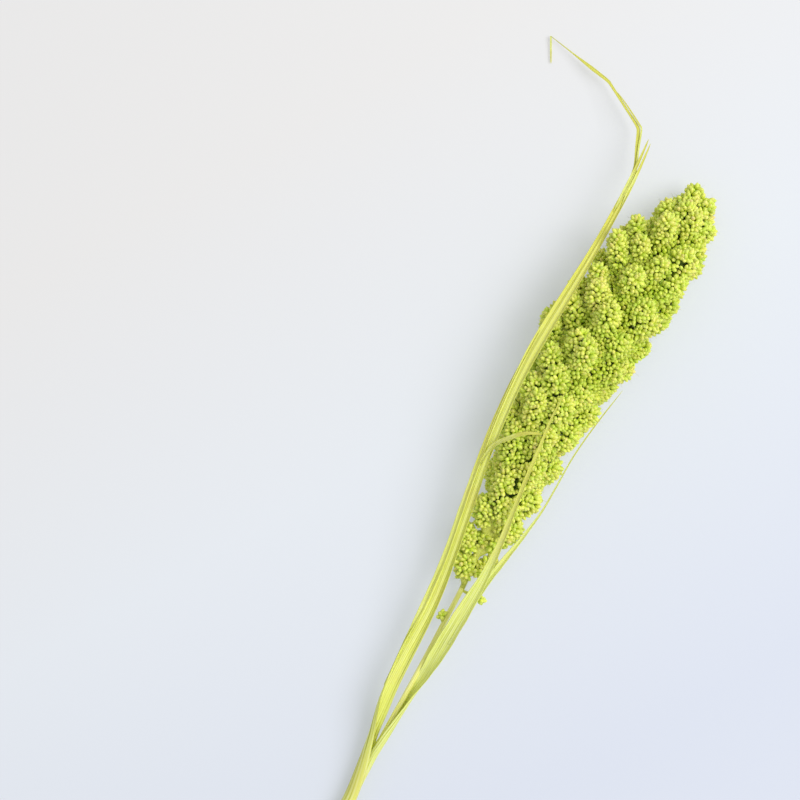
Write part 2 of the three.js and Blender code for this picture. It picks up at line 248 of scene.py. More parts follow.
@dataclass(frozen=True)
class DryLeaf:
    """Dyed dry grass leaf: papery, matt, with parallel veins that catch the light as fine lines.

    Real veins are about 0.3 mm apart. They are drawn about three times as coarse, so that they
    show in the render. The leaf yellows in patches, and it is deeper in colour towards its tip.
    """

    name: str = "dyed_dry_flag_leaf"
    body: str = "d9e16d"
    pale: str = "e8ee9e"
    deep: str = "b9c24a"
    straw: str = "e2d780"
    tip: str = "d2d04e"
    tip_run: tuple[float, float] = (0.74, 0.86)
    tip_share: float = 0.7
    roughness: float = 0.62
    glow: float = 0.3
    glow_mm: float = 0.6
    glow_reach: tuple[float, float, float] = (1.0, 0.95, 0.4)
    veins_across: float = 9.0
    vein_weight: float = 0.55
    vein_depth_mm: float = 0.1
    vein_bump: float = 0.7
    streaks_per_vein: float = 2.2
    streaks_along: float = 9.0
    streak_detail: float = 3.0
    tone_stops: tuple[float, float, float] = (0.36, 0.5, 0.85)
    patch_mm: float = 30.0
    patch_detail: float = 4.0
    aged_span: tuple[float, float] = (0.52, 0.75)
    aged_share: float = 0.6

    WAVE_CYCLES = 20.0 / (2.0 * math.pi)
    # Colour sockets of the Mix node, by number because it repeats their names for each kind of data.
    MIX_FIRST = 6
    MIX_SECOND = 7
    MIX_RESULT = 2

    def material(self) -> bpy.types.Material:
        """Build the material on the blade's own map: across the blade and along it.

        Returns:
            The material.
        """
        material, tree = blank_material(self.name)
        blade = add_node(tree, "ShaderNodeUVMap", uv_map="UVMap")
        place = add_node(tree, "ShaderNodeTexCoord")
        veins = add_node(tree, "ShaderNodeTexWave", {
            "Vector": blade.outputs["UV"], "Scale": self.veins_across / self.WAVE_CYCLES,
            "Distortion": 0.0}, bands_direction="X")
        streaks_across = self.streaks_per_vein * self.veins_across
        drawn_out = add_node(tree, "ShaderNodeMapping", {
            "Vector": blade.outputs["UV"], "Scale": (streaks_across, self.streaks_along, 1.0)})
        streaks = add_node(tree, "ShaderNodeTexNoise", {
            "Vector": drawn_out.outputs["Vector"], "Scale": 1.0, "Detail": self.streak_detail})
        patches = add_node(tree, "ShaderNodeTexNoise", {
            "Vector": place.outputs["Object"], "Scale": 1.0 / (self.patch_mm * MM),
            "Detail": self.patch_detail})
        lines = add_node(tree, "ShaderNodeMath", {
            0: veins.outputs["Fac"], 1: streaks.outputs["Fac"]}, operation="MULTIPLY")
        grain = add_node(tree, "ShaderNodeMath", {
            0: lines.outputs["Value"], 1: self.vein_weight, 2: streaks.outputs["Fac"]},
            operation="MULTIPLY_ADD")
        ramp = add_node(tree, "ShaderNodeValToRGB", {"Fac": grain.outputs["Value"]})
        fill_ramp(ramp, list(zip(self.tone_stops, (self.deep, self.body, self.pale))))
        aged = add_node(tree, "ShaderNodeMapRange", {
            "Value": patches.outputs["Fac"], "From Min": self.aged_span[0], "From Max": self.aged_span[1],
            "To Max": self.aged_share})
        colour = add_node(tree, "ShaderNodeMix", {
            0: aged.outputs["Result"], self.MIX_FIRST: ramp.outputs["Color"],
            self.MIX_SECOND: linear(self.straw)}, data_type="RGBA")
        across_along = add_node(tree, "ShaderNodeSeparateXYZ", {"Vector": blade.outputs["UV"]})
        tipward = add_node(tree, "ShaderNodeMapRange", {
            "Value": across_along.outputs["Y"], "From Min": self.tip_run[0], "From Max": self.tip_run[1],
            "To Max": self.tip_share})
        tipped = add_node(tree, "ShaderNodeMix", {
            0: tipward.outputs["Result"], self.MIX_FIRST: colour.outputs[self.MIX_RESULT],
            self.MIX_SECOND: linear(self.tip)}, data_type="RGBA")
        bump = add_node(tree, "ShaderNodeBump", {
            "Height": grain.outputs["Value"], "Strength": self.vein_bump,
            "Distance": self.vein_depth_mm * MM})
        skin = add_node(tree, "ShaderNodeBsdfPrincipled", {
            "Base Color": tipped.outputs[self.MIX_RESULT], "Roughness": self.roughness,
            "Normal": bump.outputs["Normal"],
            "Subsurface Weight": self.glow, "Subsurface Radius": self.glow_reach,
            "Subsurface Scale": self.glow_mm * MM})
        add_node(tree, "ShaderNodeOutputMaterial", {"Surface": skin.outputs["BSDF"]})
        return material


@dataclass(frozen=True)
class DryStalk:
    """Dyed dry grass stalk: hard and satin outside, streaked along its fibres."""

    name: str = "dyed_dry_grass_stalk"
    body: str = "f8f68c"
    pale: str = "fcfac0"
    deep: str = "dcd96c"
    roughness: float = 0.5
    tone_stops: tuple[float, float, float] = (0.3, 0.52, 0.75)
    fibre_mm: float = 0.5
    fibre_run_mm: float = 25.0
    fibre_detail: float = 4.0
    fibre_depth_mm: float = 0.1
    fibre_bump: float = 0.5

    def material(self) -> bpy.types.Material:
        """Build the material, with streaks along the stalk.

        Returns:
            The material.
        """
        material, tree = blank_material(self.name)
        place = add_node(tree, "ShaderNodeTexCoord")
        fine = 1.0 / (self.fibre_mm * MM)
        drawn_out = add_node(tree, "ShaderNodeMapping", {
            "Vector": place.outputs["Object"], "Scale": (1.0 / (self.fibre_run_mm * MM), fine, fine)})
        fibres = add_node(tree, "ShaderNodeTexNoise", {
            "Vector": drawn_out.outputs["Vector"], "Scale": 1.0, "Detail": self.fibre_detail})
        ramp = add_node(tree, "ShaderNodeValToRGB", {"Fac": fibres.outputs["Fac"]})
        fill_ramp(ramp, list(zip(self.tone_stops, (self.deep, self.body, self.pale))))
        bump = add_node(tree, "ShaderNodeBump", {
            "Height": fibres.outputs["Fac"], "Strength": self.fibre_bump,
            "Distance": self.fibre_depth_mm * MM})
        skin = add_node(tree, "ShaderNodeBsdfPrincipled", {
            "Base Color": ramp.outputs["Color"], "Roughness": self.roughness,
            "Normal": bump.outputs["Normal"]})
        add_node(tree, "ShaderNodeOutputMaterial", {"Surface": skin.outputs["BSDF"]})
        return material


@dataclass(frozen=True)
class PaleSurface:
    """Matt opal board that the head lies on: a faintly cool white, with painted light in its tone, darker
    towards the lower right of the view and lighter towards the upper left.

    It is lit a little from below, which keeps the shadows on it weak.
    """

    name: str = "matt_opal_board"
    # Painted light: the tone runs from darker and cooler at the lower right of the view to lighter and warmer
    # at the upper left.
    painted_light_tones: tuple[tuple[float, str], ...] = ((0.0, "a8acb5"), (0.45, "b0b3b7"), (0.85, "b3b2b1"))
    roughness: float = 0.9
    specular: float = 0.2
    lit: float = 0.77
    painted_light_along: tuple[float, float, float] = (0.5095, 0.8605, 0.0)
    painted_light_mm: tuple[float, float] = (-142.0, 252.0)

    def material(self) -> bpy.types.Material:
        """Build the material, with a barely visible change of tone along the board, which is painted light.

        Returns:
            The material.
        """
        material, tree = blank_material(self.name)
        place = add_node(tree, "ShaderNodeTexCoord")
        # Painted light: the board's tone changes along this way, as the light across it does.
        along = add_node(tree, "ShaderNodeVectorMath", {
            0: place.outputs["Object"], 1: self.painted_light_along}, operation="DOT_PRODUCT")
        fade = add_node(tree, "ShaderNodeMapRange", {
            "Value": along.outputs["Value"],
            "From Min": self.painted_light_mm[0] * MM, "From Max": self.painted_light_mm[1] * MM})
        ramp = add_node(tree, "ShaderNodeValToRGB", {"Fac": fade.outputs["Result"]})
        fill_ramp(ramp, self.painted_light_tones)
        skin = add_node(tree, "ShaderNodeBsdfPrincipled", {
            "Base Color": ramp.outputs["Color"], "Roughness": self.roughness,
            "Specular IOR Level": self.specular,
            "Emission Color": ramp.outputs["Color"], "Emission Strength": self.lit})
        add_node(tree, "ShaderNodeOutputMaterial", {"Surface": skin.outputs["BSDF"]})
        return material


class Draws:
    """Repeatable draws between 0 and 1, the same ones that place the lobes of the solids."""

    MASK = 0xFFFFFFFF
    STEP = 0x6D2B79F5
    SPAN = 4294967296.0

    def __init__(self, seed: int) -> None:
        """Start the draws from a 32-bit seed."""
        self.state = seed & self.MASK

    def next(self) -> float:
        """Draw the next number.

        Returns:
            A number from 0 up to 1.
        """
        self.state = (self.state + self.STEP) & self.MASK
        t = self.state
        t = ((t ^ (t >> 15)) * (t | 1)) & self.MASK
        t ^= (t + ((t ^ (t >> 7)) * (t | 61))) & self.MASK
        return (t ^ (t >> 14)) / self.SPAN


@dataclass
class Path:
    """Smooth line through points, in equal steps from one point to the next."""

    points: np.ndarray

    TANGENT_STEP = 1e-4

    def at(self, share: float) -> np.ndarray:
        """Find a point of the line.

        Args:
            share: Place from 0 to 1, counted in points.

        Returns:
            The point there.
        """
        pts = self.points
        last = len(pts) - 1
        low = min(int(share * last), last - 1)
        blend = share * last - low
        p1, p2 = pts[low], pts[low + 1]
        p0 = pts[low - 1] if low > 0 else 2 * p1 - p2
        p3 = pts[low + 2] if low + 2 <= last else 2 * p2 - p1
        step0, step1, step2 = (math.sqrt(np.linalg.norm(b - a)) for a, b in ((p0, p1), (p1, p2), (p2, p3)))
        leave = ((p1 - p0) / step0 - (p2 - p0) / (step0 + step1) + (p2 - p1) / step1) * step1
        arrive = ((p2 - p1) / step1 - (p3 - p1) / (step1 + step2) + (p3 - p2) / step2) * step1
        square = -3 * p1 + 3 * p2 - 2 * leave - arrive
        cube = 2 * p1 - 2 * p2 + leave + arrive
        return p1 + leave * blend + square * blend ** 2 + cube * blend ** 3

    def tangent(self, share: float) -> np.ndarray:
        """Find the line's direction at a place.

        Args:
            share: Place from 0 to 1, counted in points.

        Returns:
            The direction there, of length 1.
        """
        before = self.at(max(0.0, share - self.TANGENT_STEP))
        way = self.at(min(1.0, share + self.TANGENT_STEP)) - before
        return way / np.linalg.norm(way)


@dataclass
class GrowingFrame:
    """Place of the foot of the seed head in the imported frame, in millimetres."""

    shift: np.ndarray

    def metres(self, points: np.ndarray) -> np.ndarray:
        """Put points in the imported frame, none of them below the surface.

        Args:
            points: Points in millimetres from the foot of the head.

        Returns:
            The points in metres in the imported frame.
        """
        placed = points + self.shift
        placed[..., 2] = np.maximum(placed[..., 2], 0.0)
        return placed * MM


def unit(vectors: np.ndarray) -> np.ndarray:
    """Scale vectors to a length of 1."""
    return vectors / np.linalg.norm(vectors, axis=-1, keepdims=True)


def last_added(name: str) -> bpy.types.Object:
    """Name the object that the last operator added.

    Args:
        name: Name for the object and its data.

    Returns:
        The object.
    """
    piece = bpy.context.active_object
    piece.name = name
    piece.data.name = name
    return piece


class Element(Enum):
    """Kinds of element that are picked in edit mode: Blender's name for each, and its place in a mesh."""

    VERTEX = ("VERT", "vertices")
    EDGE = ("EDGE", "edges")
    FACE = ("FACE", "polygons")


@contextmanager
def edited(piece: bpy.types.Object, element: Element = Element.VERTEX,
           test: Callable[[Any], bool] | None = None) -> Iterator[None]:
    """Open a mesh in edit mode with a selection for operators to act on, and close it afterwards.

    Args:
        piece: The active mesh object, in object mode.
        element: Kind of element that is selected.
        test: Test that a selected element passes, or None to select all.

    Yields:
        Nothing, while the mesh is open.
    """
    kind, rows = element.value
    bpy.ops.object.mode_set(mode="EDIT")
    bpy.ops.mesh.select_mode(type=kind)
    bpy.ops.mesh.select_all(action="DESELECT" if test else "SELECT")
    if test:
        bpy.ops.object.mode_set(mode="OBJECT")
        for item in getattr(piece.data, rows):
            item.select = test(item)
        bpy.ops.object.mode_set(mode="EDIT")
    yield
    bpy.ops.object.mode_set(mode="OBJECT")


def places_of(piece: bpy.types.Object) -> np.ndarray:
    """Read the places of a mesh's vertices.

    Args:
        piece: Mesh object.

    Returns:
        Rows of x, y and z.
    """
    flat = np.empty(len(piece.data.vertices) * 3)
    piece.data.vertices.foreach_get("co", flat)
    return flat.reshape(-1, 3)


def move_to(piece: bpy.types.Object, places: np.ndarray) -> None:
    """Give a mesh's vertices new places, as rows of x, y and z in metres."""
    piece.data.vertices.foreach_set("co", np.ascontiguousarray(places, dtype=np.float32).ravel())
    piece.data.update()


def copies_mesh(name: str, template: bpy.types.Object, places: np.ndarray) -> bpy.types.Object:
    """Join moved copies of one modelled piece into one mesh.

    Args:
        name: Name of the new piece.
        template: The piece that is repeated.
        places: Vertices of every copy in metres, in an array of copies, vertices and x, y, z.

    Returns:
        The new piece, smooth shaded.
    """
    count, size = places.shape[:2]
    loops = np.array([v for face in template.data.polygons for v in face.vertices])
    sizes = np.array([len(face.vertices) for face in template.data.polygons])
    corners = (loops[None, :] + size * np.arange(count)[:, None]).ravel()
    all_sizes = np.tile(sizes, count)
    starts = np.concatenate([[0], np.cumsum(all_sizes)[:-1]])
    mesh = bpy.data.meshes.new(name)
    mesh.vertices.add(count * size)
    mesh.vertices.foreach_set("co", places.astype(np.float32).ravel())
    mesh.loops.add(len(corners))
    mesh.loops.foreach_set("vertex_index", corners.astype(np.int32))
    mesh.polygons.add(len(all_sizes))
    mesh.polygons.foreach_set("loop_start", starts.astype(np.int32))
    mesh.update(calc_edges=True)
    mesh.shade_smooth()
    piece = bpy.data.objects.new(name, mesh)
    bpy.context.scene.collection.objects.link(piece)
    return piece


def turned_copies(shape: np.ndarray, places: np.ndarray, ways: np.ndarray, sizes: np.ndarray,
                  rolls: np.ndarray) -> np.ndarray:
    """Turn copies of a shape from +Z to their own ways and move them to their places.

    Args:
        shape: Vertices of the shape, in millimetres.
        places: Place of each copy.
        ways: Way that each copy points.
        sizes: Sizes of each copy, across it twice and along it.
        rolls: Turn of each copy about its own way.

    Returns:
        Vertices of all copies.
    """
    near_x = 0.9
    helper = np.where(np.abs(ways[:, :1]) < near_x, (1.0, 0.0, 0.0), (0.0, 1.0, 0.0))
    across = unit(np.cross(ways, helper))
    third = np.cross(ways, across)
    first = across * np.cos(rolls)[:, None] + third * np.sin(rolls)[:, None]
    second = np.cross(ways, first)
    axes = np.stack([first, second, ways], axis=1) * sizes[:, :, None]
    return places[:, None, :] + np.einsum("vk,nkc->nvc", shape, axes)


def join_to(piece: bpy.types.Object, other: bpy.types.Object) -> None:
    """Join a second piece to a piece, smooth shaded.

    Args:
        piece: Piece that stays.
        other: Piece that becomes part of it.
    """
    bpy.ops.object.select_all(action="DESELECT")
    other.select_set(True)
    piece.select_set(True)
    bpy.context.view_layer.objects.active = piece
    bpy.ops.object.join()
    piece.data.shade_smooth()


def discard(piece: bpy.types.Object) -> None:
    """Remove a piece that was only modelled to be copied.

    Args:
        piece: The piece.
    """
    mesh = piece.data
    bpy.data.objects.remove(piece)
    bpy.data.meshes.remove(mesh)


def hand_over(piece: bpy.types.Object, material: bpy.types.Material, slot: Slot, *nodes: str) -> None:
    """Dress a finished piece and fix it to the object.

    Args:
        piece: The finished piece.
        material: Its material.
        slot: Slot of the record for its kind of piece; not used.
        *nodes: Solids that it stands for.
    """
    piece.data.materials.clear()
    piece.data.materials.append(material)
    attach(piece, BODY)
    if nodes:
        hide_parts(*nodes)
    LOG.info("%s: %d faces", piece.name, len(piece.data.polygons))


@dataclass
class Lobe:
    """One short branch of the head that carries seeds, with its own axes."""

    root: np.ndarray
    axis: np.ndarray
    side: np.ndarray
    top: np.ndarray
    length: float
    width: float
    turn: float
    bare: float = 0.2

    SHOULDER = 0.7
    NECK = 0.35
    SLICES = 240

    def girth(self, share: np.ndarray) -> np.ndarray:
        """Give the lobe's radius: a neck, a body that swells to its shoulder, and a round end.

        Args:
            share: Places along the lobe, from 0 at its root to 1 at its end.

        Returns:
            Radius at each place.
        """
        share = np.clip(share, 0.0, 1.0)
        body = self.NECK + (1 - self.NECK) * np.sin(0.5 * np.pi * share / self.SHOULDER)
        end = np.sqrt(np.clip(1 - ((share - self.SHOULDER) / (1 - self.SHOULDER)) ** 2, 0.0, None))
        return 0.5 * self.width * np.where(share < self.SHOULDER, body, end)

    def line(self, share: np.ndarray) -> np.ndarray:
        """Find points of the lobe's axis at places along it."""
        return self.root + np.outer(self.length * share, self.axis)

    def out(self, angle: np.ndarray) -> np.ndarray:
        """Give the ways out from the lobe's axis at angles round it."""
        return np.outer(np.cos(angle), self.side) + np.outer(np.sin(angle), self.top)

    def surface(self, share: np.ndarray, angle: np.ndarray, scale: float = 1.0) -> np.ndarray:
        """Find points of the lobe's skin.

        Args:
            share: Places along the lobe.
            angle: Angles round it.
            scale: Share of the lobe's girth at which the points lie.

        Returns:
            The points, in millimetres from the foot of the head.
        """
        return self.line(share) + self.out(angle) * (scale * self.girth(share))[:, None]

    def spiral(self, cell: float, start: float) -> tuple[np.ndarray, np.ndarray]:
        """Spread places evenly over the lobe's skin in a golden-angle spiral.

        Args:
            cell: Area of skin for each place, in square millimetres.
            start: Place along the lobe where the spiral starts.

        Returns:
            Places along the lobe and angles round it.
        """
        share = np.linspace(start, 1.0, self.SLICES)
        girth = self.girth(share)
        slope = np.hypot(np.diff(share) * self.length, np.diff(girth))
        area = np.concatenate([[0.0], np.cumsum(2 * np.pi * 0.5 * (girth[1:] + girth[:-1]) * slope)])
        count = max(1, int(area[-1] / cell))
        order = np.arange(count)
        places = np.interp((order + 0.5) / count * area[-1], area, share)
        return places, self.turn + order * GOLDEN_ANGLE

    def depth_of(self, points: np.ndarray) -> np.ndarray:
        """Measure how far points lie inside the lobe.

        Args:
            points: Points in millimetres from the foot of the head.

        Returns:
            Depth of each point, over 0 inside the lobe.
        """
        along = (points - self.root) @ self.axis
        off_axis = np.linalg.norm(points - self.root - along[:, None] * self.axis, axis=1)
        share = along / self.length
        return np.where((share > 0) & (share < 1), self.girth(share) - off_axis, -1.0)


@dataclass
class HeadForm:
    """Form of the seed head: its outline, its rachis and the lobes on it, as in the solids."""

    length: float = 224.0
    radius: float = 27.0
    flatness: float = 0.86
    foot_slimness: float = 0.62
    tip_rounding: float = 5.2
    tip_bluntness: float = 0.8
    outline_gain: float = 1.47
    middle_taper: float = 60.0
    bow: float = 5.5
    bow_length: float = 150.0
    tip_swing: float = 4.0
    swing_power: float = 1.5
    foot_height: float = 9.0
    rise: float = 6.5
    rise_length: float = 110.0
    tip_droop: float = 5.0
    droop_power: int = 2
    droop_start: float = 150.0
    lobe_count: int = 108
    roots_end: float = 205.0
    foot_density: float = 0.35
    lobe_width: float = 13.0
    tip_narrowing: float = 4.0
    narrowing_power: int = 3
    foot_lean: float = 20.0
    lean_gain: float = 40.0
    lean_fade_power: int = 8
    lean_jitter: float = 8.0
    turn_jitter: float = 0.5
    width_range: tuple[float, float] = (0.9, 1.15)
    length_range: tuple[float, float] = (0.92, 1.08)
    shortest_lobe: float = 9.0
    end_reach: float = 0.42
    tip_lobe_length: float = 17.0
    tip_lobe_width: float = 8.0
    tip_lobe_aside: float = 0.3
    lobe_seed: int = 7
    press_depth: float = 5.0
    rest_cut: float = 2.0

    HALVINGS = 30

    def outline(self, x: np.ndarray | float) -> np.ndarray:
        """Give half the head's width.

        Args:
            x: Distances from the foot of the head.

        Returns:
            Half the width at each distance.
        """
        share = np.clip(np.asarray(x, dtype=float) / self.length, 0.0, 1.0)
        swell = share ** self.foot_slimness * (1 - share ** self.tip_rounding) ** self.tip_bluntness
        return self.radius * self.outline_gain * swell

    def middle(self, x: np.ndarray, share: float) -> np.ndarray:
        """Give a share of half the head's width, which thins out towards its open foot."""
        return share * self.outline(x) * np.minimum(1.0, x / self.middle_taper)

    def rachis(self, x: np.ndarray | float) -> np.ndarray:
        """Find the head's centre line.

        Args:
            x: Distances from the foot of the head.

        Returns:
            Points of the line, in millimetres from the foot of the head.
        """
        x = np.asarray(x, dtype=float)
        rise = self.rise * np.sin(0.5 * np.pi * np.minimum(x / self.rise_length, 1.0))
        past = np.maximum(0.0, (x - self.droop_start) / (self.length - self.droop_start))
        swing = self.bow * np.sin(np.pi * x / self.bow_length) - self.tip_swing * past ** self.swing_power
        height = self.foot_height + rise - self.tip_droop * past ** self.droop_power
        return np.stack([x, swing, height], axis=-1)

    def pressed(self, height: np.ndarray) -> np.ndarray:
        """Press heights near the surface up, as the head's own weight does.

        Args:
            height: Heights above the surface, which may be below 0.

        Returns:
            The heights, with the low ones drawn together just above the rest cut.
        """
        depth = self.press_depth + self.rest_cut
        sunk = np.minimum(height, self.press_depth) - self.press_depth
        low = depth * np.exp(sunk / depth) - self.rest_cut
        return np.where(height > self.press_depth, height, low)

    def lobe_reach(self, x: float, lean: float, width: float) -> float:
        """Find the length at which a lobe meets the head's outline.

        Args:
            x: Distance of its root from the foot of the head.
            lean: Angle between the lobe and the rachis.
            width: Width of the lobe.

        Returns:
            Its length.
        """
        low, high = 0.0, 2 * self.radius
        for _ in range(self.HALVINGS):
            length = 0.5 * (low + high)
            edge = self.outline(x + length * math.cos(lean))
            room = edge - self.end_reach * width - length * math.sin(lean)
            low, high = (length, high) if room > 0 else (low, length)
        return low

    def lobe(self, root: np.ndarray, way: np.ndarray, length: float, width: float, turn: float) -> Lobe:
        """Make a lobe and its own axes.

        Args:
            root: Place of its root.
            way: Way that it grows.
            length: Its length.
            width: Its width.
            turn: Angle round it at which its seeds start.

        Returns:
            The lobe.
        """
        axis = unit(way)
        side = unit(np.cross((0.0, 0.0, 1.0), axis))
        return Lobe(root, axis, side, np.cross(axis, side), length, width, turn)

    def lobes(self) -> list[Lobe]:
        """Grow the lobes in a golden-angle spiral up the rachis, with the draws of the solids.

        Returns:
            The lobes from the foot up, with the one at the tip last.
        """
        draws = Draws(self.lobe_seed)
        spread = 0.5 * (1 - self.foot_density)
        grown = []
        for i in range(self.lobe_count):
            share = (i + 0.5) / self.lobe_count
            root_term = self.foot_density ** 2 + 4 * spread * (self.foot_density + spread) * share
            along = (math.sqrt(root_term) - self.foot_density) / (2 * spread)
            turn = i * GOLDEN_ANGLE + self.turn_jitter * (draws.next() - 0.5)
            width = self.lobe_width - self.tip_narrowing * along ** self.narrowing_power
            width *= self.width_range[0] + (self.width_range[1] - self.width_range[0]) * draws.next()
            lean = self.foot_lean + self.lean_gain * along * (1 - along ** self.lean_fade_power)
            lean = math.radians(lean + self.lean_jitter * (draws.next() - 0.5))
            stretch = self.length_range[0] + (self.length_range[1] - self.length_range[0]) * draws.next()
            x = self.roots_end * along
            length = max(self.shortest_lobe, self.lobe_reach(x, lean, width) * stretch)
            out = np.array([0.0, math.cos(turn), self.flatness * math.sin(turn)])
            way = np.array([math.cos(lean), 0.0, 0.0]) + math.sin(lean) * out
            grown.append(self.lobe(self.rachis(x), way, length, width, turn))
        ahead = np.array([1.0, self.tip_lobe_aside, 0.0])
        tip = self.lobe(self.rachis(self.roots_end), ahead, self.tip_lobe_length, self.tip_lobe_width, 0.0)
        return [*grown, tip]


class Stream(Enum):
    """Streams of random draws, as steps from the head's own seed, so that none shifts another."""

    PLACES = 0
    SIZES = 1
    BRISTLES = 2
    LENGTHS = 3


@dataclass(frozen=True)
class SeedForm:
    """One millet seed in its hull: an egg with a blunt point."""

    width: float = 2.12
    length: float = 4.0
    sides: int = 7
    rings: int = 6
    point_from: float = 0.3
    point_girth: float = 0.86
    size_spread: float = 0.08
    size_range: tuple[float, float] = (0.8, 1.2)

    def model(self) -> bpy.types.Object:
        """Model the seed from a sphere, with its length along Z.

        Returns:
            The seed, in millimetres.
        """
        bpy.ops.mesh.primitive_uv_sphere_add(segments=self.sides, ring_count=self.rings, radius=0.5)
        seed = last_added("one_seed")
        with edited(seed):
            bpy.ops.transform.resize(value=(self.width, self.width, self.length), center_override=ORIGIN)
        with edited(seed, Element.VERTEX, lambda vertex: vertex.co.z > self.point_from * self.length):
            bpy.ops.transform.resize(value=(self.point_girth, self.point_girth, 1.0), center_override=ORIGIN)
        return seed

    def sizes(self, count: int, draws: np.random.Generator) -> np.ndarray:
        """Draw the sizes of copies, across the seed twice and along it, as shares of its own."""
        return draws.normal(1.0, self.size_spread, (count, 3)).clip(*self.size_range)


@dataclass(frozen=True)
class SeedTints:
    """Colours of the seeds: they ripen from green to straw, and the buried ones are darkened with painted
    shade.
    """

    ripening: tuple[tuple[float, str], ...] = (
        (0.0, "c8e44c"), (0.4, "e1ed5e"), (0.7, "eceb6c"), (1.0, "f0d888"))
    ripeness: float = 0.42
    lobe_spread: float = 0.05
    seed_spread: float = 0.14
    # Painted shade: from the first depth below the head's outline to the second, seeds darken to the deep
    # factors, as shade falls in the creases between the lobes.
    painted_shade_depths: tuple[float, float] = (5.0, 12.5)
    deep: tuple[float, float, float] = (0.7, 0.79, 0.29)
    shade_spread: float = 0.06
    shade_range: tuple[float, float] = (0.85, 1.12)
    # Painted shade at each seed's foot, where the seeds crowd together, on a greener own colour; the paler
    # tip is partly the hull's own and partly a painted highlight.
    foot: tuple[float, float, float] = (0.74, 0.82, 0.2)
    tip: tuple[float, float, float] = (1.0, 0.96, 1.28)
    fade_gain: float = 1.3
    fade_start: float = 0.15

    def draw(self, owner: np.ndarray, depth: np.ndarray, draws: np.random.Generator) -> np.ndarray:
        """Draw the seeds' colours, with painted shade on the buried ones.

        Args:
            owner: Number of the lobe that each seed grows on, in rising order.
            depth: Depth of each seed below the head's outline.
            draws: Random draws.

        Returns:
            Linear red, green and blue of each seed.
        """
        lobe_ripeness = self.lobe_spread * draws.normal(size=owner[-1] + 1)[owner]
        ripeness = self.ripeness + lobe_ripeness + self.seed_spread * draws.normal(size=len(owner))
        # Painted shade: the deeper a seed lies below the outline, the darker it is painted.
        painted_depth_shade = np.interp(depth, self.painted_shade_depths, (0.0, 1.0))[:, None]
        stages = [place for place, _ in self.ripening]
        palette = np.array([linear(tint)[:3] for _, tint in self.ripening])
        tints = np.stack([np.interp(ripeness, stages, palette[:, k]) for k in range(3)], axis=1)
        tints *= 1.0 + painted_depth_shade * (np.array(self.deep) - 1.0)
        tints *= draws.normal(1.0, self.shade_spread, (len(tints), 1)).clip(*self.shade_range)
        return tints

    def paint(self, piece: bpy.types.Object, layer: str, tints: np.ndarray, height: np.ndarray) -> None:
        """Paint each seed, darker and greener at its foot and paler at its tip. The darker foot is painted
        shade where the seeds crowd together; the paler tip is partly the hull's own paler tip and partly a
        painted highlight.

        Args:
            piece: Mesh of seeds.
            layer: Name of the colour attribute.
            tints: Linear colour of each seed.
            height: Place of each vertex of one seed, from 0 at its foot to 1 at its tip.
        """
        foot = np.array(self.foot)
        fade = np.clip(self.fade_gain * height - self.fade_start, 0.0, 1.0)[None, :, None]
        # Blend from the painted shade at the foot to the paler tip with its painted highlight.
        colour = tints[:, None, :] * (foot + (np.array(self.tip) - foot) * fade)
        colour = np.concatenate([colour.clip(0.0, 1.0), np.ones((*colour.shape[:2], 1))], axis=2)
        colours = piece.data.color_attributes.new(layer, "FLOAT_COLOR", "POINT")
        colours.data.foreach_set("color", colour.astype(np.float32).ravel())


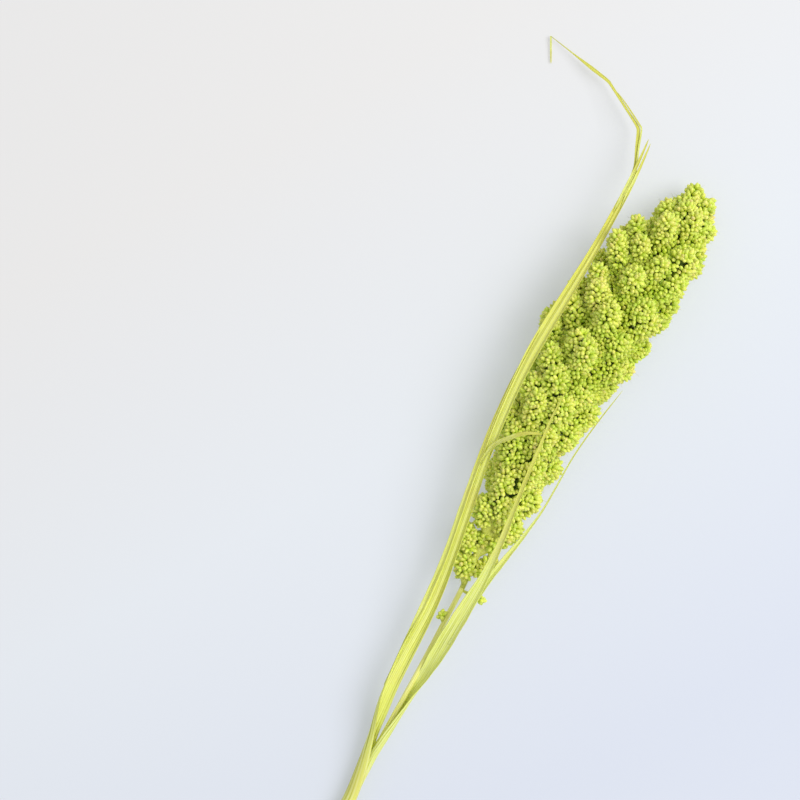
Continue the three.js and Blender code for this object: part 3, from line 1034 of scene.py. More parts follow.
@dataclass(frozen=True)
class SeedScatter:
    """Rule for the seeds' places: rounded florets on the lobes, and a bed of seeds between the lobes."""

    cell: float = 3.9
    sink: float = 0.3
    cover_depth: float = -0.1
    core_share: float = 0.5
    along_spread: float = 0.32
    round_spread: float = 0.07
    lift_spread: float = 0.22
    way_spread: float = 0.2
    last_share: float = 0.999
    steepest: float = 4.0
    floret_cell: float = 42.0
    floret_radius: float = 5.5
    floret_relief: float = 0.5
    floret_spread: float = 0.12
    floret_lean: float = 0.2
    floret_edge: float = 1.0
    bed_share: float = 0.62
    bed_run: tuple[float, float] = (8.0, 219.0)
    bed_lean: float = 0.25
    bed_round_spread: float = 0.04
    bed_lift_spread: float = 0.4
    bed_steepest: float = 2.0

    SLOPE_STEP = 0.01
    BED_SLICES = 600

    def set_seeds(self, form: HeadForm, lobes: list[Lobe], tints: SeedTints,
                  draws: np.random.Generator) -> tuple[np.ndarray, ...]:
        """Set the seeds on the lobes and between them, without those that lobes or the core cover.

        Args:
            form: Form of the head.
            lobes: Lobes of the head.
            tints: Colours of the seeds.
            draws: Random draws.

        Returns:
            Places of the seeds, the ways they point, the ways out of the skin below them, and their
            linear colours.
        """
        found = [*(self.on_lobe(lobe, draws) for lobe in lobes), self.on_bed(form, draws)]
        owner = np.concatenate([np.full(len(seeds[0]), i) for i, seeds in enumerate(found)])
        places, ways, skins = (np.concatenate([seeds[k] for seeds in found]) for k in range(3))
        shown = np.ones(len(places), dtype=bool)
        for i, lobe in enumerate(lobes):
            shown &= (owner == i) | (lobe.depth_of(places) < self.cover_depth)
        x = np.clip(places[:, 0], 0.0, form.length)
        off_rachis = np.linalg.norm((places - form.rachis(x))[:, 1:] / (1.0, form.flatness), axis=1)
        shown &= (off_rachis > form.middle(x, self.core_share)) | (x > form.roots_end)
        colours = tints.draw(owner, form.outline(x) - off_rachis, draws)
        return places[shown], ways[shown], skins[shown], colours[shown]

    def on_lobe(self, lobe: Lobe, draws: np.random.Generator) -> tuple[np.ndarray, np.ndarray, np.ndarray]:
        """Set the seeds of one lobe on the rounded florets that stand out of its skin.

        Args:
            lobe: The lobe.
            draws: Random draws.

        Returns:
            Places of the seeds, the ways they point and the ways out of the lobe's skin.
        """
        share, angle = lobe.spiral(self.cell, lobe.bare)
        share = share + draws.normal(0.0, self.along_spread / lobe.length, len(share))
        share = np.clip(share, 0.0, self.last_share)
        angle = angle + draws.normal(0.0, self.round_spread, len(angle))
        places = lobe.surface(share, angle)
        change = lobe.girth(share + self.SLOPE_STEP) - lobe.girth(share - self.SLOPE_STEP)
        slope = np.clip(change / (2 * self.SLOPE_STEP * lobe.length), -self.steepest, self.steepest)
        skins = unit(lobe.out(angle) - slope[:, None] * lobe.axis)
        florets_along, florets_round = lobe.spiral(self.floret_cell, lobe.bare)
        florets_round = florets_round + draws.normal(0.0, self.floret_spread, len(florets_round))
        gaps = places[:, None, :] - lobe.surface(florets_along, florets_round)[None, :, :]
        nearest = np.argmin(np.linalg.norm(gaps, axis=2), axis=1)
        offset = gaps[np.arange(len(places)), nearest]
        offset -= np.einsum("nk,nk->n", offset, skins)[:, None] * skins
        dome = self.floret_radius ** 2 - np.sum(offset ** 2, axis=1)
        height = np.sqrt(np.maximum(dome, self.floret_edge))
        lift = self.floret_relief * (height - self.floret_radius)
        lift = lift + draws.normal(0.0, self.lift_spread, len(height))
        rounded = skins * height[:, None] + offset + self.floret_lean * self.floret_radius * lobe.axis
        ways = unit(unit(rounded) + draws.normal(0.0, self.way_spread, places.shape))
        return places + skins * (lift - self.sink)[:, None], ways, skins

    def on_bed(self, form: HeadForm, draws: np.random.Generator) -> tuple[np.ndarray, np.ndarray, np.ndarray]:
        """Set the seeds deep in the head, which fill the gaps between the lobes.

        Args:
            form: Form of the head.
            draws: Random draws.

        Returns:
            Places of the seeds, the ways they point and the ways out of the bed.
        """
        x = np.linspace(*self.bed_run, self.BED_SLICES)
        girth = form.middle(x, self.bed_share)
        area = np.concatenate([[0.0], np.cumsum(np.pi * (girth[1:] + girth[:-1]) * np.diff(x))])
        order = np.arange(int(area[-1] / self.cell))
        along = np.interp((order + 0.5) / len(order) * area[-1], area, x)
        slope = np.interp(along, x, np.gradient(girth, x)).clip(-self.bed_steepest, self.bed_steepest)
        angle = order * GOLDEN_ANGLE + draws.normal(0.0, self.bed_round_spread, len(order))
        out = np.stack([np.zeros(len(order)), np.cos(angle), form.flatness * np.sin(angle)], axis=1)
        places = form.rachis(along) + out * np.interp(along, x, girth)[:, None]
        skins = unit(out - slope[:, None] * (1.0, 0.0, 0.0))
        ways = unit(skins + (self.bed_lean, 0.0, 0.0) + draws.normal(0.0, self.way_spread, places.shape))
        lift = draws.normal(-self.sink, self.bed_lift_spread, len(order))
        return places + skins * lift[:, None], ways, skins


@dataclass
class SeedHead:
    """The seed head: branches inside, painted dark as shade, thousands of seeds on them and a fuzz of
    bristles.

    The lobe trims are extra lengths of single lobes, which give the flanks their uneven steps.
    """

    form: HeadForm
    frame: GrowingFrame
    seed: SeedForm = SeedForm()
    scatter: SeedScatter = SeedScatter()
    tints: SeedTints = SeedTints()
    scatter_seed: int = 5
    seed_pieces: int = 4
    foot_lobes: int = 7
    open_run: float = 33.0
    dense_tip: tuple[float, float] = (180.0, 200.0)
    lobe_slimness: float = 0.9
    lobe_stretch: float = 1.3
    lobe_unevenness: float = 1.6
    most_uneven: float = 1.5
    lobe_trims: tuple[tuple[int, float], ...] = (
        (31, 1.5), (36, -4.0), (39, -5.0), (44, -1.5), (52, 4.0), (57, -2.0), (60, -1.5), (73, -2.0),
        (82, -7.0), (86, 2.0))
    stray_bare: float = 0.55
    branch_scale: float = 0.66
    branch_reach: float = 0.84
    branch_sides: int = 12
    branch_rings: int = 10
    core_start: float = 38.0
    core_inset: float = 0.85
    thinnest_core: float = 1.2
    foot_start: float = -1.0
    foot_end: float = 60.0
    foot_girth: float = 1.3
    foot_swell: float = 0.03
    rachis_sides: int = 16
    rachis_cuts: int = 3
    bristle_every: int = 3
    bristle_sides: int = 3
    bristle_width: float = 0.2
    bristle_lengths: tuple[float, float] = (2.6, 5.0)
    bristle_pull: float = 0.6
    bristle_lean: float = 0.35
    bristle_drift: float = 0.6
    hull: MilletHull = MilletHull()
    branch: InnerBranch = InnerBranch()
    stem: DryStalk = DryStalk("dyed_green_rachis", "d6da60", "e2e484", "b6bc48")
    bristle: Bristle = Bristle()

    POLE = 1e-4

    def build(self) -> None:
        """Build the branches, the seeds and the bristles."""
        lobes = [*self.placed_lobes(), *self.strays(), *self.own_lobes()]
        places, ways, skins, tints = self.scatter.set_seeds(
            self.form, lobes, self.tints, self.draws(Stream.PLACES))
        LOG.info("%d seeds", len(places))
        self.build_branches([lobe for lobe in lobes if lobe.root[0] >= self.open_run])
        self.build_foot([lobe for lobe in lobes if lobe.root[0] < self.open_run])
        self.build_seeds(places, ways, tints)
        self.build_bristles(places, ways, skins)

    def draws(self, stream: Stream) -> np.random.Generator:
        """Start a stream of random draws."""
        return np.random.default_rng(self.scatter_seed + stream.value)

    def own_lobes(self) -> list[Lobe]:
        """Make the lobes of the form slimmer and unevenly longer, so that creases part them.

        Returns:
            The lobes above the open foot of the head.
        """
        draws = self.draws(Stream.LENGTHS)
        trims = dict(self.lobe_trims)
        shaped = []
        for number, lobe in enumerate(self.form.lobes()[self.foot_lobes:]):
            apart = float(np.interp(lobe.root[0], self.dense_tip, (1.0, 0.0)))
            uneven = float(np.clip(draws.normal(), -self.most_uneven, self.most_uneven))
            more = self.lobe_stretch + self.lobe_unevenness * uneven
            length = lobe.length + apart * more + trims.get(number, 0.0)
            slim = 1 + apart * (self.lobe_slimness - 1)
            shaped.append(replace(lobe, length=length, width=slim * lobe.width))
        return shaped

    def placed_lobes(self) -> list[Lobe]:
        """Make the loose lobes at the foot, between which the rachis shows, and three higher up.

        Returns:
            The lobes, each from its root to its end and with its width as the spans give them.
        """
        spans = (
            ((2.0, 0.2, 9.2), (17.0, 7.5, 10.5), 10.0),
            ((8.0, 2.0, 10.0), (28.5, 12.5, 12.5), 7.5),
            ((6.0, 0.7, 9.6), (20.0, -7.5, 8.8), 6.5),
            ((17.0, 1.4, 10.2), (41.0, -9.3, 9.4), 10.0),
            ((18.6, 2.1, 10.7), (34.0, 0.5, 4.5), 9.0),
            ((31.0, 3.4, 11.8), (51.0, 1.0, 19.6), 12.6),
            ((34.0, 2.6, 11.2), (56.0, -11.0, 10.5), 9.5),
            ((107.0, 4.3, 15.5), (131.0, -19.0, 16.0), 10.0),
            ((160.0, -1.5, 15.4), (183.5, -11.5, 29.0), 9.5),
        )
        placed = []
        for number, (root, end, width) in enumerate(spans):
            way = np.array(end) - np.array(root)
            length = float(np.linalg.norm(way))
            placed.append(self.form.lobe(np.array(root), way, length, width, float(number)))
        return placed

    def strays(self) -> list[Lobe]:
        """Make the two small stray clusters below the head, on short bare stems.

        Returns:
            The right cluster and the left one, each with its root, way, length, width and turn.
        """
        clusters = (
            ((-1.0, 0.0, 9.0), (0.05, -1.0, 0.26), 12.4, 3.6, 0.4),
            ((-19.5, -0.7, 8.5), (0.75, 0.65, 0.12), 6.2, 3.4, 1.7),
        )
        return [replace(self.form.lobe(np.array(root), np.array(way), *sizes), bare=self.stray_bare)
                for root, way, *sizes in clusters]

    def settle(self, points: np.ndarray) -> np.ndarray:
        """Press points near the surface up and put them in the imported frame.

        Args:
            points: Points in millimetres from the foot of the head.

        Returns:
            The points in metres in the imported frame.
        """
        settled = points.copy()
        settled[..., 2] = self.form.pressed(settled[..., 2])
        return self.frame.metres(settled)

    def build_seeds(self, places: np.ndarray, ways: np.ndarray, tints: np.ndarray) -> None:
        """Copy the seed to every place, in a few pieces from the foot to the tip.

        Args:
            places: Places of the seeds.
            ways: Ways they point.
            tints: Their linear colours.
        """
        draws = self.draws(Stream.SIZES)
        seed = self.seed.model()
        shape = places_of(seed)
        height = shape[:, 2] / self.seed.length + 0.5
        material = self.hull.material()
        order = np.argsort(places[:, 0], kind="stable")
        for number, chosen in enumerate(np.array_split(order, self.seed_pieces)):
            sizes = self.seed.sizes(len(chosen), draws)
            rolls = draws.uniform(0.0, 2 * np.pi, len(chosen))
            copies = turned_copies(shape, places[chosen], ways[chosen], sizes, rolls)
            piece = copies_mesh(f"seeds_{number + 1}", seed, self.settle(copies))
            self.tints.paint(piece, self.hull.tint, tints[chosen], height)
            hand_over(piece, material, Slot.SEEDS, "head")
        discard(seed)

    def build_branches(self, lobes: list[Lobe]) -> None:
        """Build the lobes' own bodies and the rachis, which show between the seeds, painted dark as shade.

        Args:
            lobes: Lobes above the open foot of the head.
        """
        bushes = self.lobe_bodies("branches", lobes)
        core = self.along_rachis("rachis", self.core_start, self.form.roots_end, self.core_girth)
        join_to(bushes, core)
        # The branches' dark finish is painted shade between the seeds.
        hand_over(bushes, self.branch.material(), Slot.SEEDS, "head")

    def lobe_bodies(self, name: str, lobes: list[Lobe]) -> bpy.types.Object:
        """Build the branch inside each lobe.

        Args:
            name: Name of the new piece.
            lobes: Lobes that get a branch.

        Returns:
            The new piece.
        """
        bpy.ops.mesh.primitive_uv_sphere_add(
            segments=self.branch_sides, ring_count=self.branch_rings, radius=1.0)
        body = last_added("one_lobe")
        shape = places_of(body)
        share = 0.5 * self.branch_reach * (shape[:, 2] + 1.0)
        angle = np.arctan2(shape[:, 1], shape[:, 0])
        at_pole = (np.hypot(shape[:, 0], shape[:, 1]) < self.POLE)[:, None]
        bodies = []
        for lobe in lobes:
            skin = lobe.surface(share, angle, self.branch_scale)
            bodies.append(np.where(at_pole, lobe.line(share), skin))
        branches = copies_mesh(name, body, self.settle(np.stack(bodies)))
        discard(body)
        return branches

    def core_girth(self, x: np.ndarray) -> np.ndarray:
        """Give the radius of the dense middle of the head at distances from its foot."""
        dense = self.form.middle(x, self.core_inset * self.scatter.core_share)
        return np.maximum(self.thinnest_core, dense)

    def build_foot(self, loose: list[Lobe]) -> None:
        """Build the rachis at the open foot of the head, with the branches that show there.

        Args:
            loose: Lobes at the foot of the head and below it.
        """
        foot = self.along_rachis("rachis_foot", self.foot_start, self.foot_end,
                                 lambda x: self.foot_girth + self.foot_swell * x)
        join_to(foot, self.lobe_bodies("loose_branches", loose))
        hand_over(foot, self.stem.material(), Slot.STALK)

    def along_rachis(self, name: str, start: float, end: float,
                     girth: Callable[[np.ndarray], np.ndarray]) -> bpy.types.Object:
        """Bend a cylinder along the rachis.

        Args:
            name: Name of the new piece.
            start: Distance of its lower end from the foot of the head.
            end: Distance of its upper end.
            girth: Rule for its radius at distances from the foot.

        Returns:
            The new piece.
        """
        bpy.ops.mesh.primitive_cylinder_add(
            vertices=self.rachis_sides, radius=1.0, depth=1.0, end_fill_type="TRIFAN")
        tube = last_added(name)
        with edited(tube):
            bpy.ops.mesh.subdivide(number_cuts=self.rachis_cuts)
        shape = places_of(tube)
        x = start + (shape[:, 2] + 0.5) * (end - start)
        around = np.stack([np.zeros(len(x)), shape[:, 0], self.form.flatness * shape[:, 1]], axis=1)
        move_to(tube, self.settle(self.form.rachis(x) + around * girth(x)[:, None]))
        return tube

    def build_bristles(self, places: np.ndarray, ways: np.ndarray, skins: np.ndarray) -> None:
        """Stand thin bristles between the seeds.

        Args:
            places: Places of the seeds.
            ways: Ways the seeds point.
            skins: Ways out of the skin.
        """
        draws = self.draws(Stream.BRISTLES)
        bpy.ops.mesh.primitive_cone_add(
            vertices=self.bristle_sides, radius1=0.5, radius2=0.0, depth=1.0, end_fill_type="NOTHING")
        spike = last_added("one_bristle")
        with edited(spike):
            bpy.ops.transform.translate(value=(0.0, 0.0, 0.5))
        shape = places_of(spike)
        chosen = np.arange(0, len(places), self.bristle_every)
        lean = draws.normal(0.0, self.bristle_lean, (len(chosen), 3))
        aims = unit(self.bristle_pull * skins[chosen] + self.bristle_pull * ways[chosen] + lean)
        starts = places[chosen] + draws.normal(0.0, self.bristle_drift, (len(chosen), 3))
        lengths = draws.uniform(*self.bristle_lengths, len(chosen))
        widths = np.full(len(chosen), self.bristle_width)
        sizes = np.stack([widths, widths, lengths], axis=1)
        copies = turned_copies(shape, starts, aims, sizes, np.zeros(len(chosen)))
        piece = copies_mesh("bristles", spike, self.settle(copies))
        discard(spike)
        hand_over(piece, self.bristle.material(), Slot.SEEDS)


@dataclass
class StalkForm:
    """Centre line and girth of the stalk, as in the solids."""

    length: float = 222.0
    end_radius: float = 1.5
    top_radius: float = 1.2
    end_height: float = 3.2
    foot_height: float = 9.0
    nodes: tuple[float, float] = (-136.0, -196.0)
    swelling: float = 0.6
    node_half_length: float = 3.0
    solid_sides: int = 8

    HALVINGS = 40

    def line(self) -> Path:
        """Lay the stalk's centre line from its cut end to the foot of the head."""
        return Path(np.array([
            (-self.length, -7.0, self.end_height),
            (-160.0, -4.5, 4.7),
            (-90.0, -2.0, 6.5),
            (-40.0, -1.2, 7.9),
            (0.0, 0.0, self.foot_height),
        ]))

    def at(self, x: float) -> np.ndarray:
        """Find a point of the centre line.

        Args:
            x: Distance from the foot of the head, below 0 on the stalk.

        Returns:
            The point there.
        """
        line = self.line()
        low, high = 0.0, 1.0
        for _ in range(self.HALVINGS):
            middle = 0.5 * (low + high)
            low, high = (middle, high) if line.at(middle)[0] < x else (low, middle)
        return line.at(low)

    def radius(self, x: np.ndarray) -> np.ndarray:
        """Give the stalk's radius: tapered, with a swelling at each joint.

        Args:
            x: Distances from the foot of the head.

        Returns:
            Radius at each distance.
        """
        taper = np.interp(x, (-self.length, 0.0), (self.end_radius, self.top_radius))
        bumps = [np.exp(-(((x - node) / self.node_half_length) ** 2)) for node in self.nodes]
        return taper + self.swelling * np.max(bumps, axis=0)

    def place_in_frame(self) -> GrowingFrame:
        """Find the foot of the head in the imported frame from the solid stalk's box.

        Returns:
            The frame in which the shapes are worked out.
        """
        low = np.array(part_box("stalk")[0]) / MM
        flat_side = self.end_radius * math.cos(math.pi / self.solid_sides)
        cut_end = self.line().points[0]
        return GrowingFrame(np.array([low[0] - cut_end[0], low[1] - (cut_end[1] - flat_side), 0.0]))


@dataclass
class Stalk:
    """The stalk below the head, finely ribbed, with swollen joints and a plain cut end."""

    form: StalkForm
    frame: GrowingFrame
    sides: int = 24
    cuts: int = 180
    ribs: int = 12
    rib_depth: float = 0.05
    pith_depth: float = 1.2
    wall: float = 0.4
    finish: DryStalk = DryStalk()

    RING_DIGITS = 4
    END_SLACK = 0.1
    END_FACING = 0.9

    def build(self) -> None:
        """Model the stalk from a cylinder: cut it in rings, bend it and hollow its cut end."""
        bpy.ops.mesh.primitive_cylinder_add(vertices=self.sides, radius=1.0, depth=1.0, end_fill_type="NGON")
        stalk = last_added("ribbed_stalk")
        with edited(stalk, Element.EDGE, lambda edge: self.runs_along(stalk, edge)):
            bpy.ops.mesh.subdivide(number_cuts=self.cuts)
        self.bend(stalk)
        self.hollow_end(stalk)
        stalk.data.shade_smooth()
        hand_over(stalk, self.finish.material(), Slot.STALK, "stalk")

    def runs_along(self, stalk: bpy.types.Object, edge: bpy.types.MeshEdge) -> bool:
        """Tell whether an edge of the plain cylinder runs from one end to the other."""
        low, high = (stalk.data.vertices[v].co.z for v in edge.vertices)
        return low * high < 0.0

    def bend(self, stalk: bpy.types.Object) -> None:
        """Move the rings to the stalk's centre line, and give them their girth and ribs.

        Args:
            stalk: The cylinder, cut in rings.
        """
        shape = places_of(stalk)
        x = (shape[:, 2] - 0.5) * self.form.length
        rings = np.round(x, self.RING_DIGITS)
        centres = {ring: self.form.at(ring) for ring in np.unique(rings)}
        middle = np.array([centres[ring] for ring in rings])
        angle = np.arctan2(shape[:, 1], shape[:, 0])
        girth = self.form.radius(x) + self.rib_depth * np.cos(self.ribs * angle)
        around = np.stack([np.zeros(len(x)), shape[:, 0], shape[:, 1]], axis=1)
        move_to(stalk, self.frame.metres(middle + around * girth[:, None]))

    def hollow_end(self, stalk: bpy.types.Object) -> None:
        """Inset the cut end and push its pith in.

        Args:
            stalk: The bent stalk.
        """
        end = min(face.center.x for face in stalk.data.polygons) + self.END_SLACK * MM
        with edited(stalk, Element.FACE,
                    lambda face: face.center.x < end and abs(face.normal.x) > self.END_FACING):
            bpy.ops.mesh.inset(thickness=self.wall * MM)
            bpy.ops.mesh.extrude_region_move(
                TRANSFORM_OT_translate={"value": (self.pith_depth * MM, 0.0, 0.0)})


@dataclass(frozen=True)
class Station:
    """One section of a blade: its place, width, roll and the way its upper side looks."""

    x: float
    y: float
    z: float
    width: float
    wrap: float
    face: tuple[float, float, float]


@dataclass
class Blade:
    """A thin leaf blade through sections, pleated lengthwise and tapered to a fine tip."""

    name: str
    stations: list[Station]
    frame: GrowingFrame
    steps: int = 260
    across: int = 26
    thickness: float = 0.22
    pleats: float = 2.0
    pleat_depth: float = 0.35
    full_pleat_width: float = 6.0
    edge_wave: float = 0.05
    wave_turns: tuple[float, float] = (37.0, 91.0)
    wave_lag: float = 1.0
    tip_share: float = 0.08
    tip_taper: float = 0.75
    flat_wrap: float = 130.0
    sheath_wrap: float = 220.0
    least_wrap: float = 0.02

    def build(self) -> bpy.types.Object:
        """Model the blade from a grid that is laid along its sections and given a thickness.

        Returns:
            The blade.
        """
        bpy.ops.mesh.primitive_grid_add(
            x_subdivisions=self.across, y_subdivisions=self.steps, size=1.0, calc_uvs=True)
        blade = last_added(self.name)
        shape = places_of(blade)
        rows = np.rint((shape[:, 1] + 0.5) * self.steps).astype(int)
        columns = np.rint((shape[:, 0] + 0.5) * self.across).astype(int)
        grid = np.stack([self.section(row / self.steps) for row in range(self.steps + 1)])
        move_to(blade, self.frame.metres(grid[rows, columns]))
        with edited(blade):
            bpy.ops.mesh.normals_make_consistent(inside=False)
        wall = blade.modifiers.new("thickness", "SOLIDIFY")
        wall.thickness = self.thickness * MM
        wall.offset = 0.0
        bpy.ops.object.modifier_apply(modifier=wall.name)
        blade.data.shade_smooth()
        return blade

    def value(self, share: float, read: Callable[[Station], Any]) -> np.ndarray:
        """Blend a value between the two sections next to a place.

        Args:
            share: Place from 0 to 1, counted in sections.
            read: Reads the value from a section.

        Returns:
            The value there.
        """
        place = share * (len(self.stations) - 1)
        low = min(int(place), len(self.stations) - 2)
        first, second = (np.asarray(read(self.stations[low + k]), dtype=float) for k in (0, 1))
        return first + (second - first) * (place - low)

    def section(self, share: float) -> np.ndarray:
        """Find the points across the blade at a place along it.

        Args:
            share: Place from 0 to 1, counted in sections.

        Returns:
            The points from one edge to the other.
        """
        line = Path(np.array([(s.x, s.y, s.z) for s in self.stations]))
        centre, tangent = line.at(share), line.tangent(share)
        face = self.value(share, lambda s: s.face)
        face = unit(face - tangent * (face @ tangent))
        cross = np.cross(face, tangent)
        wrap = max(self.least_wrap, math.radians(float(self.value(share, lambda s: s.wrap))))
        closed = (math.degrees(wrap) - self.flat_wrap) / (self.sheath_wrap - self.flat_wrap)
        flat = 1 - np.clip(closed, 0.0, 1.0)
        slow, fast = self.wave_turns
        wave = flat * self.edge_wave * math.sin(slow * share) * math.sin(fast * share + self.wave_lag)
        past = max(0.0, (share - (1 - self.tip_share)) / self.tip_share)
        width = float(self.value(share, lambda s: s.width)) * (1 + wave)
        width *= 1 - self.tip_taper * past ** 2
        across = np.linspace(0.0, 1.0, self.across + 1)
        angle = wrap * (across - 0.5)
        radius = width / wrap
        normal = np.outer(np.cos(angle), face) - np.outer(np.sin(angle), cross)
        middle = centre + np.outer(radius * (1 - np.cos(angle)), face)
        middle = middle + np.outer(radius * np.sin(angle), cross)
        fold = self.pleat_depth * min(1.0, width / self.full_pleat_width) * flat
        waves = np.cos(2 * np.pi * self.pleats * across)
        return middle + normal * (fold * waves)[:, None]


@dataclass
class Leaf:
    """A leaf of the stalk: a sheath that wraps it, a blade, and strips torn from the blade."""

    node: str
    stalk: StalkForm
    frame: GrowingFrame
    sheath_from: float
    sheath_to: float
    inner_radius: float
    rib_side: tuple[float, float, float]
    blade: list[Station]
    strips: list[list[Station]]
    pleat_depth: float = 0.35
    solid_thickness: float = 0.6
    sheath_wrap: float = 290.0
    sheath_steps: int = 8
    strip_steps: int = 30
    strip_across: int = 8
    strip_pleats: float = 1.0

    def sheath(self) -> list[Station]:
        """Lay the sections of the sheath round the stalk.

        Returns:
            The sections from the sheath's joint up.
        """
        rib = np.array(self.rib_side)
        radius = self.inner_radius + 0.5 * self.solid_thickness
        width = math.radians(self.sheath_wrap) * radius
        sections = []
        for x in np.linspace(self.sheath_from, self.sheath_to, self.sheath_steps):
            place = self.stalk.at(x) + rib * radius
            sections.append(Station(*place, width, self.sheath_wrap, tuple(-rib)))
        return sections

    def build(self, material: bpy.types.Material) -> None:
        """Build the leaf's blade and strips and dress them.

        Args:
            material: Finish of the leaf.
        """
        blades = [Blade(f"{self.node}_blade", [*self.sheath(), *self.blade], self.frame,
                        pleat_depth=self.pleat_depth)]
        for number, strip in enumerate(self.strips):
            blades.append(Blade(f"{self.node}_strip_{number + 1}", strip, self.frame,
                                self.strip_steps * len(strip), self.strip_across, pleats=self.strip_pleats))
        for blade in blades:
            hand_over(blade.build(), material, Slot.LEAF, self.node)


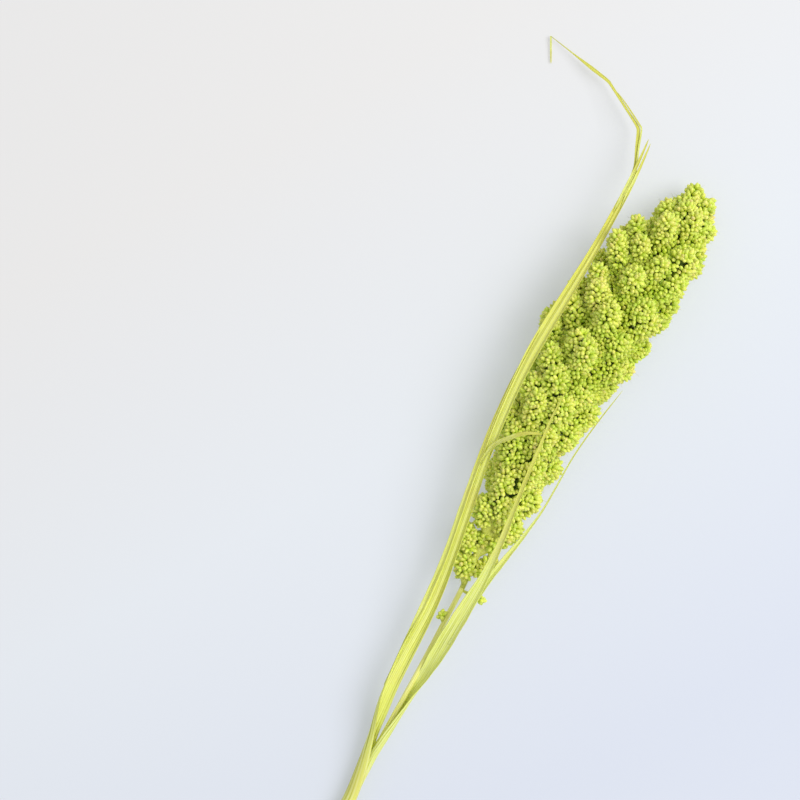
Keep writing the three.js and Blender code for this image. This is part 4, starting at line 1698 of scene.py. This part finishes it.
@dataclass
class Foliage:
    """The two leaves, at the places that the solids give them."""

    stalk: StalkForm
    frame: GrowingFrame
    sheath_gap: float = 0.4
    thickness: float = 0.6
    flag_sheath_end: float = -90.0
    flag_pleat_depth: float = 0.14
    long_sheath_end: float = -112.0
    outer_gaps: float = 2.3
    flag_finish: DryLeaf = DryLeaf()
    long_finish: DryLeaf = DryLeaf(
        "dyed_dry_lower_leaf", "dade5c", "eaee98", "a0a434", "d6c868", "d0cb52", (0.52, 0.64))

    def build(self) -> None:
        """Build both leaves, the upper one a little greener."""
        self.flag_leaf().build(self.flag_finish.material())
        self.long_leaf().build(self.long_finish.material())

    def flag_leaf(self) -> Leaf:
        """Describe the upper leaf, which crosses the foot of the head and lies on it.

        Returns:
            The leaf, with one strip torn from it.
        """
        blade = [
            Station(-78, -4.7, 7.0, 10.4, 225, (0, 1, 0.05)),
            Station(-64, -4.7, 7.7, 9.6, 160, (0, 0.92, 0.35)),
            Station(-53, -4.7, 8.4, 8.6, 125, (0, 0.8, 0.6)),
            Station(-46, -5.2, 9.4, 7.8, 100, (0, 0.65, 0.76)),
            Station(-38, -5.3, 11.2, 7.9, 95, (0, 0.45, 0.9)),
            Station(-28, -5.3, 13.0, 8.6, 88, (0, 0.25, 1)),
            Station(-16, -5.3, 15.3, 8.4, 86, (0, 0.1, 1)),
            Station(-6, -5.6, 16.6, 7.6, 95, (0, 0.1, 1)),
            Station(11, -5.6, 19.0, 5.4, 110, (0, -0.1, 1)),
            Station(27, -4.6, 22.4, 3.8, 120, (0, 0.1, 1)),
            Station(42, -2.6, 25.6, 2.8, 110, (0, 0.3, 1)),
            Station(60, 0.2, 29.0, 2.1, 90, (0, 0.2, 1)),
            Station(76, 2.2, 31.8, 1.6, 70, (0, -0.2, 1)),
            Station(92, 4.2, 34.2, 1.1, 60, (0, 0.1, 1)),
            Station(106, 4.6, 35.8, 0.6, 40, (0, 0.2, 1)),
        ]
        strip = [
            Station(-26, -7.4, 14.4, 1.6, 30, (0, 0.5, 0.9)),
            Station(-12, -7.8, 15.0, 2.6, 30, (0, 0.5, 0.9)),
            Station(4, -8.2, 14.2, 3.4, 60, (0, 0.3, 1)),
            Station(20, -10.4, 13.4, 3.2, 60, (0, 0.3, 1)),
            Station(34, -12.8, 12.8, 2.0, 50, (0, 0.2, 1)),
            Station(50, -14.9, 12.4, 1.0, 40, (0, 0.3, 1)),
            Station(64, -15.2, 12.2, 0.8, 30, (0, 0.3, 1)),
            Station(80, -15.2, 12.4, 0.7, 30, (0, 0.3, 1)),
            Station(98, -16.9, 13.0, 0.6, 20, (0, 0.3, 1)),
            Station(119, -20.0, 14.0, 0.5, 20, (0, 0.3, 1)),
        ]
        start = self.stalk.nodes[0] + self.stalk.node_half_length
        radius = self.stalk.end_radius + self.sheath_gap
        return Leaf("flag_leaf", self.stalk, self.frame, start, self.flag_sheath_end, radius,
                    (0.0, -1.0, 0.0), blade, [strip], self.flag_pleat_depth)

    def long_leaf(self) -> Leaf:
        """Describe the lower leaf, which lies along the head's left flank and curls past its tip.

        Returns:
            The leaf, with the strips torn from it.
        """
        blade = [
            Station(-98, 2.4, 6.2, 15.0, 230, (0, -1, 0.05)),
            Station(-81, 5.0, 7.6, 12.8, 160, (0, -0.98, 0.2)),
            Station(-62, 7.6, 10.4, 10.4, 112, (0, -0.7, 0.7)),
            Station(-40, 8.6, 12.6, 8.6, 90, (0, -0.3, 0.95)),
            Station(-16, 9.0, 15.0, 7.6, 100, (0, 0, 1)),
            Station(8, 12.0, 17.8, 7.0, 110, (0, 0.15, 1)),
            Station(34, 16.8, 20.4, 6.4, 100, (0, 0.1, 1)),
            Station(60, 21.6, 23.8, 5.8, 90, (0, 0.1, 1)),
            Station(86, 25.0, 26.4, 5.8, 80, (0, 0.1, 1)),
            Station(112, 26.6, 28.4, 6.4, 70, (0, 0.15, 1)),
            Station(138, 26.0, 29.4, 6.2, 60, (0, 0.2, 1)),
            Station(164, 25.0, 27.6, 4.8, 60, (0, 0.25, 1)),
            Station(188, 24.6, 21.8, 4.2, 70, (0, 0.3, 0.95)),
            Station(206, 25.2, 18.0, 3.4, 80, (0, 0, 1)),
            Station(213.7, 26.6, 15.8, 2.0, 70, (0.2, 0, 1)),
            Station(222.5, 30.4, 13.2, 1.7, 60, (0.2, 0, 1)),
            Station(230.9, 34.0, 10.8, 1.7, 60, (0.2, 0, 1)),
            Station(232.0, 35.0, 10.4, 1.6, 60, (0.2, 0, 1)),
            Station(238.0, 45.4, 8.4, 1.2, 50, (0.2, 0, 1)),
            Station(243.9, 55.7, 6.3, 1.4, 40, (0.2, 0, 1)),
            Station(244.7, 57.3, 6.0, 1.5, 40, (0.2, 0, 1)),
            Station(246.6, 67.5, 4.6, 2.0, 40, (0.2, 0, 1)),
            Station(248.6, 78.5, 3.2, 0.9, 30, (0.1, 0, 1)),
            Station(251.0, 92.2, 1.4, 0.8, 20, (0, 0, 1)),
        ]
        strips = [
            [
                Station(190, 25.6, 21.6, 0.3, 40, (0, 0.3, 1)),
                Station(199, 25.7, 20.2, 2.0, 40, (0, 0.3, 1)),
                Station(208, 26.0, 18.4, 1.9, 40, (0, 0.3, 1)),
                Station(219, 26.7, 16.0, 1.3, 30, (0, 0.2, 1)),
                Station(229, 27.6, 13.8, 0.5, 20, (0, 0.2, 1)),
            ],
            [
                Station(193, 23.7, 21.0, 0.3, 40, (0, -0.2, 1)),
                Station(201, 24.0, 19.6, 1.9, 40, (0, -0.2, 1)),
                Station(209, 24.3, 18.2, 1.6, 40, (0, -0.2, 1)),
                Station(219, 25.0, 16.2, 1.1, 30, (0, -0.1, 1)),
                Station(227.5, 25.8, 14.6, 0.4, 20, (0, -0.1, 1)),
            ],
            [
                Station(213.0, 26.0, 17.0, 0.9, 30, (0.2, 0, 1)),
                Station(222.9, 29.6, 13.9, 0.8, 30, (0.2, 0, 1)),
                Station(232.4, 33.2, 11.2, 0.8, 30, (0.2, 0, 1)),
                Station(233.1, 34.2, 10.9, 0.8, 30, (0.2, 0, 1)),
                Station(238.9, 44.6, 8.8, 0.7, 30, (0.2, 0, 1)),
                Station(242.2, 51.2, 7.2, 0.4, 30, (0.2, 0, 1)),
            ],
            [
                Station(251.0, 92.2, 1.5, 0.8, 20, (0, 0, 1)),
                Station(248.2, 90.6, 1.2, 0.8, 20, (0, 0, 1)),
                Station(244.0, 88.2, 0.9, 0.7, 20, (0, 0, 1)),
                Station(239.8, 85.8, 0.7, 0.5, 20, (0, 0, 1)),
            ],
            [
                Station(56, 22.2, 24.0, 1.6, 40, (0, 0.4, 0.9)),
                Station(66, 21.2, 27.0, 2.4, 50, (0, 0.5, 0.8)),
                Station(74, 15.8, 32.2, 2.3, 60, (0, 0.4, 0.9)),
                Station(79, 10.6, 34.8, 1.8, 50, (0.2, 0.1, 1)),
                Station(82, 4.4, 35.6, 0.8, 40, (0.4, 0, 1)),
            ],
            [
                Station(-58, 9.6, 11.6, 1.2, 30, (0, 0.2, 1)),
                Station(-24, 11.9, 15.5, 2.8, 50, (0, 0.2, 1)),
                Station(8, 14.9, 19.4, 3.0, 60, (0, 0.4, 0.9)),
                Station(40, 20.6, 22.8, 2.8, 60, (0, 0.5, 0.85)),
                Station(72, 25.8, 25.8, 2.4, 50, (0, 0.5, 0.85)),
                Station(100, 28.4, 27.8, 1.8, 40, (0, 0.7, 0.7)),
                Station(124, 28.6, 29.4, 0.5, 20, (0, 0.7, 0.7)),
            ],
        ]
        start = self.stalk.nodes[1] + self.stalk.node_half_length
        radius = self.stalk.end_radius + self.thickness + self.outer_gaps * self.sheath_gap
        return Leaf("long_leaf", self.stalk, self.frame, start, self.long_sheath_end, radius,
                    (0.0, 1.0, 0.0), blade, strips)


@dataclass
class Studio:
    """Pale surface, soft light from the right and a camera that looks straight down."""

    frame: GrowingFrame
    surface: PaleSurface = PaleSurface()
    surface_size: float = 6.0
    surface_drop: float = 0.0002
    view_right: tuple[float, float, float] = (0.4904, -0.8715, 0.0)
    view_up: tuple[float, float, float] = (0.8715, 0.4904, 0.0)
    aim: tuple[float, float, float] = (63.5, 69.7, 0.0)
    frame_width: float = 384.0
    camera_height: float = 1100.0
    sensor: float = 36.0
    key_place: tuple[float, float, float] = (1.5, 0.35, 1.9)
    key_power: float = 48.0
    key_size: float = 1.8
    sky: str = "f4f6fa"
    sky_strength: float = 0.62

    def build(self) -> None:
        """Build the surface, the light and the camera."""
        self.build_surface()
        self.build_light()
        self.build_camera()

    def build_surface(self) -> None:
        """Lay the pale surface under the object."""
        bpy.ops.mesh.primitive_plane_add(size=self.surface_size, location=(0.0, 0.0, -self.surface_drop))
        floor = last_added("pale_surface")
        bpy.ops.object.transform_apply(location=True)
        floor.data.materials.append(self.surface.material())

    def build_light(self) -> None:
        """Hang a large soft light at the right of the view, under an even pale sky."""
        target = Vector(self.frame.metres(np.array(self.aim)))
        axes = (Vector(self.view_right), Vector(self.view_up), Vector((0.0, 0.0, 1.0)))
        place = target + sum((axis * far for axis, far in zip(axes, self.key_place)), Vector())
        bpy.ops.object.light_add(type="AREA", location=place)
        key = last_added("key_light")
        key.data.size = self.key_size
        key.data.energy = self.key_power
        key.rotation_euler = (target - place).to_track_quat("-Z", "Y").to_euler()
        world = bpy.data.worlds.new("pale_sky")
        world.use_nodes = True
        sky = world.node_tree.nodes["Background"]
        sky.inputs["Color"].default_value = linear(self.sky)
        sky.inputs["Strength"].default_value = self.sky_strength
        bpy.context.scene.world = world
        bpy.context.scene.view_settings.view_transform = "Standard"

    def build_camera(self) -> None:
        """Set the camera straight above, turned as the photograph is."""
        aim = self.frame.metres(np.array(self.aim))
        bpy.ops.object.camera_add()
        camera = last_added("camera")
        turn = Matrix((self.view_right, self.view_up, (0.0, 0.0, 1.0))).transposed().to_4x4()
        above = Vector(aim) + Vector((0.0, 0.0, self.camera_height * MM))
        camera.matrix_world = Matrix.Translation(above) @ turn
        camera.data.sensor_fit = "HORIZONTAL"
        camera.data.sensor_width = self.sensor
        camera.data.lens = self.sensor * self.camera_height / self.frame_width
        bpy.context.scene.camera = camera


def main() -> None:
    """Load the solids and build the head, the stalk, the leaves and the studio."""
    logging.basicConfig(level=logging.INFO, format="%(name)s: %(message)s")
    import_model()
    bpy.ops.object.select_all(action="DESELECT")
    stalk_form = StalkForm()
    frame = stalk_form.place_in_frame()
    SeedHead(HeadForm(), frame).build()
    Stalk(stalk_form, frame).build()
    Foliage(stalk_form, frame).build()
    Studio(frame).build()


if __name__ == "__main__":
    main()
